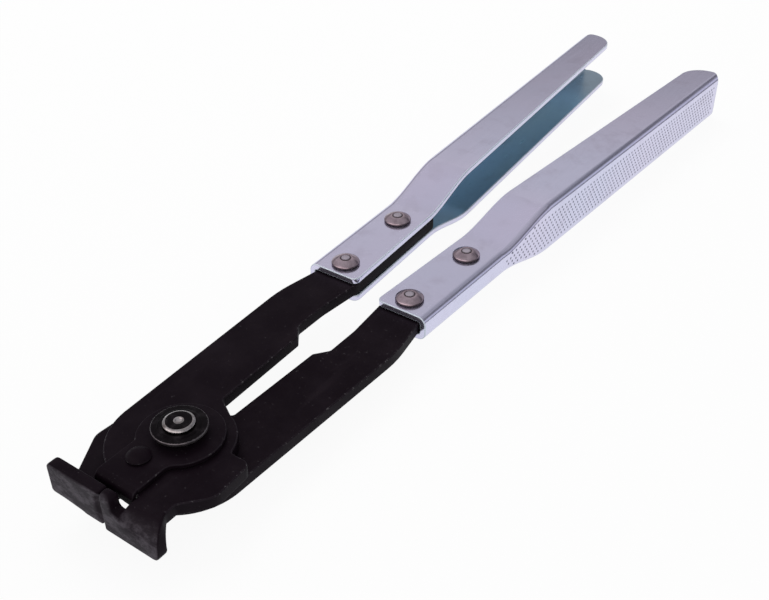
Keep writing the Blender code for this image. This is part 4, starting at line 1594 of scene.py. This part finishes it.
@dataclass
class Studio:
    """The floor, the lamps, the world and the camera."""

    camera_place: Point3 = (0.149448, -0.122643, 0.181714)
    camera_right: Point3 = (0.81376, 0.58116, -0.00717)
    camera_up: Point3 = (-0.33387, 0.47752, 0.81271)
    camera_back: Point3 = (0.47573, -0.65896, 0.58262)
    focal_px: float = 1048.58
    picture_px: float = 769.0
    sensor_mm: float = 36.0
    floor_half: float = 3.0
    floor_drop: float = 0.0002
    seen_share: float = 0.93
    soft_level: float = 0.55

    def build(self) -> None:
        """Sets everything round the tool."""
        self.add_camera()
        self.add_floor()
        self.add_world()
        self.add_lamp("key", (-0.55, 0.35, 0.95), 0.7, 5)
        self.add_lamp("fill", (0.75, -0.75, 0.8), 1.0, 2)
        bpy.context.scene.view_settings.view_transform = "Standard"

    def add_camera(self) -> None:
        """The camera at the photograph's viewpoint."""
        data = bpy.data.cameras.new("camera")
        data.sensor_width = self.sensor_mm
        data.lens = self.focal_px * self.sensor_mm / self.picture_px
        data.clip_start = 0.01
        camera = placed("camera", data)
        turn = Matrix((self.camera_right, self.camera_up, self.camera_back)).transposed()
        camera.matrix_world = Matrix.Translation(Vector(self.camera_place) + PIVOT) @ turn.to_4x4()
        bpy.context.scene.camera = camera

    def add_floor(self) -> None:
        """A pale floor that shows white and keeps a soft shadow."""
        reach = self.floor_half
        mesh = bpy.data.meshes.new("floor")
        mesh.from_pydata([(-reach, -reach, 0), (reach, -reach, 0), (reach, reach, 0), (-reach, reach, 0)],
                         [], [(0, 1, 2, 3)])
        floor = placed("floor", mesh)
        floor.location.z = -self.floor_drop
        made = bpy.data.materials.new("floor")
        made.use_nodes = True
        graph = Graph(made.node_tree)
        lit = graph.wire("ShaderNodeBsdfDiffuse", None, {"Color": (0.9, 0.9, 0.9, 1)})
        white = graph.wire("ShaderNodeEmission", None, {"Color": WHITE, "Strength": 1.0})
        grey = graph.wire("ShaderNodeEmission", None, {"Color": (0.9, 0.92, 0.96, 1), "Strength": 0.86})
        camera = graph.wire("ShaderNodeLightPath", output="Is Camera Ray")
        glossy = graph.wire("ShaderNodeLightPath", output="Is Glossy Ray")
        seen = graph.math("MAXIMUM", camera, glossy)
        shown = graph.wire("ShaderNodeMixShader", None, {0: glossy, 1: white, 2: grey})
        mixed = graph.wire("ShaderNodeMixShader", None, {0: seen * self.seen_share, 1: lit, 2: shown})
        graph.node("ShaderNodeOutputMaterial", inputs={"Surface": mixed})
        mesh.materials.append(made)

    def add_world(self) -> None:
        """White for the camera, and for reflections a drawn grey map, dark at one side, with a window."""
        world = bpy.data.worlds.new("studio")
        bpy.context.scene.world = world
        world.use_nodes = True
        graph = Graph(world.node_tree)
        way = graph.wire("ShaderNodeTexCoord", output="Generated")
        height, across = graph.part(way, "Z"), graph.part(way, "X")
        left = graph.wire("ShaderNodeValToRGB", {"stops": [
            (0.0, (0.7, 0.7, 0.74)), (0.1, (0.4, 0.4, 0.45)), (0.26, (0.24, 0.24, 0.26)),
            (0.38, (0.24, 0.23, 0.25)), (0.47, (0.54, 0.53, 0.56)), (0.6, (0.46, 0.45, 0.48)),
            (0.8, (0.49, 0.48, 0.52)), (1.0, (0.45, 0.45, 0.48))]}, {0: height})
        right = graph.wire("ShaderNodeValToRGB", {"stops": [
            (0.0, (0.04, 0.04, 0.05)), (0.09, (0.05, 0.05, 0.07)), (0.16, (0.52, 0.53, 0.62)),
            (0.34, (0.52, 0.53, 0.62)), (0.42, (0.2, 0.2, 0.23)), (0.46, (0.1, 0.1, 0.12)),
            (0.56, (0.08, 0.08, 0.1)), (0.64, (0.26, 0.26, 0.29)), (0.8, (0.32, 0.32, 0.35)),
            (1.0, (0.45, 0.45, 0.48))]}, {0: height})
        ceiling = graph.blend(graph.remap(across, -0.25, 0.1), left, right)
        window = graph.remap(graph.part(way, "Y"), -0.3, -0.5) * graph.remap(height, 0.1, 0.25)
        ceiling = graph.blend(window, ceiling, (1.35, 1.25, 1.28, 1))
        camera = graph.wire("ShaderNodeLightPath", output="Is Camera Ray")
        glossy = graph.wire("ShaderNodeLightPath", output="Is Glossy Ray")
        soft = graph.wire("ShaderNodeBackground", None, {"Color": WHITE, "Strength": self.soft_level})
        mirror = graph.wire("ShaderNodeBackground", None, {"Color": ceiling, "Strength": 1.0})
        white = graph.wire("ShaderNodeBackground", None, {"Color": WHITE, "Strength": 1.0})
        rest = graph.wire("ShaderNodeMixShader", None, {0: glossy, 1: soft, 2: mirror})
        shown = graph.wire("ShaderNodeMixShader", None, {0: camera, 1: rest, 2: white})
        graph.node("ShaderNodeOutputWorld", inputs={"Surface": shown})

    @staticmethod
    def add_lamp(name: str, place: Point3, size: float, power: float) -> None:
        """A soft square lamp aimed at the tool.

        Args:
            name: Its name.
            place: Where it hangs, in the world.
            size: Its side.
            power: Its power in watts.
        """
        data = bpy.data.lights.new(name, "AREA")
        data.shape = "SQUARE"
        data.size = size
        data.energy = power
        lamp = placed(name, data)
        lamp.visible_glossy = False
        lamp.location = place
        lamp.rotation_euler = (-Vector(place)).to_track_quat("-Z", "Y").to_euler()


def build_tool() -> None:
    """Makes every piece of the tool: the arms, the presser, the pivot and the handles."""
    thickness = ArmPlate().thickness
    upper_bottom = thickness + GAP
    upper_top = upper_bottom + thickness
    wall = 0.0034
    lower_depth, upper_depth = 0.0101, 0.0086
    mating_x = GAP / 2
    inner = 0.0055
    blade_x = inner + 0.0013
    corner = 0.0005
    lower_blade = [(mating_x, lower_depth, corner), (mating_x, 0, corner), (blade_x, 0, corner),
                   (blade_x, lower_depth, 0)]
    finger_x, finger_tip, notch_floor = 0.0034, -0.0034, 0.0013
    neck_x, neck_floor = inner + 0.0006, 0.00325
    upper_blade = [(mating_x, upper_depth, 0), (mating_x, finger_tip, 0.0008), (finger_x, finger_tip, 0.0017),
                   (finger_x, notch_floor, 0.00105), (inner, notch_floor, 0), (neck_x, neck_floor, 0),
                   (neck_x, upper_depth, 0)]
    lower_jaw = Jaw(width=0.0178, depth=lower_depth, neck_x=0.0156, wall=wall, bend_radius=0.0016,
                    blade=lower_blade, tight_radius=0.0007)
    upper_jaw = Jaw(width=0.0173, depth=upper_depth, neck_x=0.0144, wall=wall, bend_radius=0.0065,
                    blade=upper_blade)
    lower = JawArm(Side.LOWER, 0, Ear(0.0208, 0.0217, -0.0088, 0.0156, -0.0197), lower_jaw)
    upper = JawArm(Side.UPPER, upper_bottom, Ear(0.0195, 0.0203, -0.0098, 0.0144, -0.0166), upper_jaw)
    lower.build()
    upper.build()
    presser = EarPresser(upper_top + GAP)
    presser.build()
    PivotStack(upper_bottom, presser.bottom + presser.sheet).build()
    ChannelHandle(Side.LOWER, thickness / 2).build()
    ChannelHandle(Side.UPPER, upper_bottom + thickness / 2).build()


def main() -> None:
    """Builds the tool and its studio."""
    logging.basicConfig(level=logging.INFO, format="%(name)s %(message)s")
    build_tool()
    Studio().build()


if __name__ == "__main__":
    main()
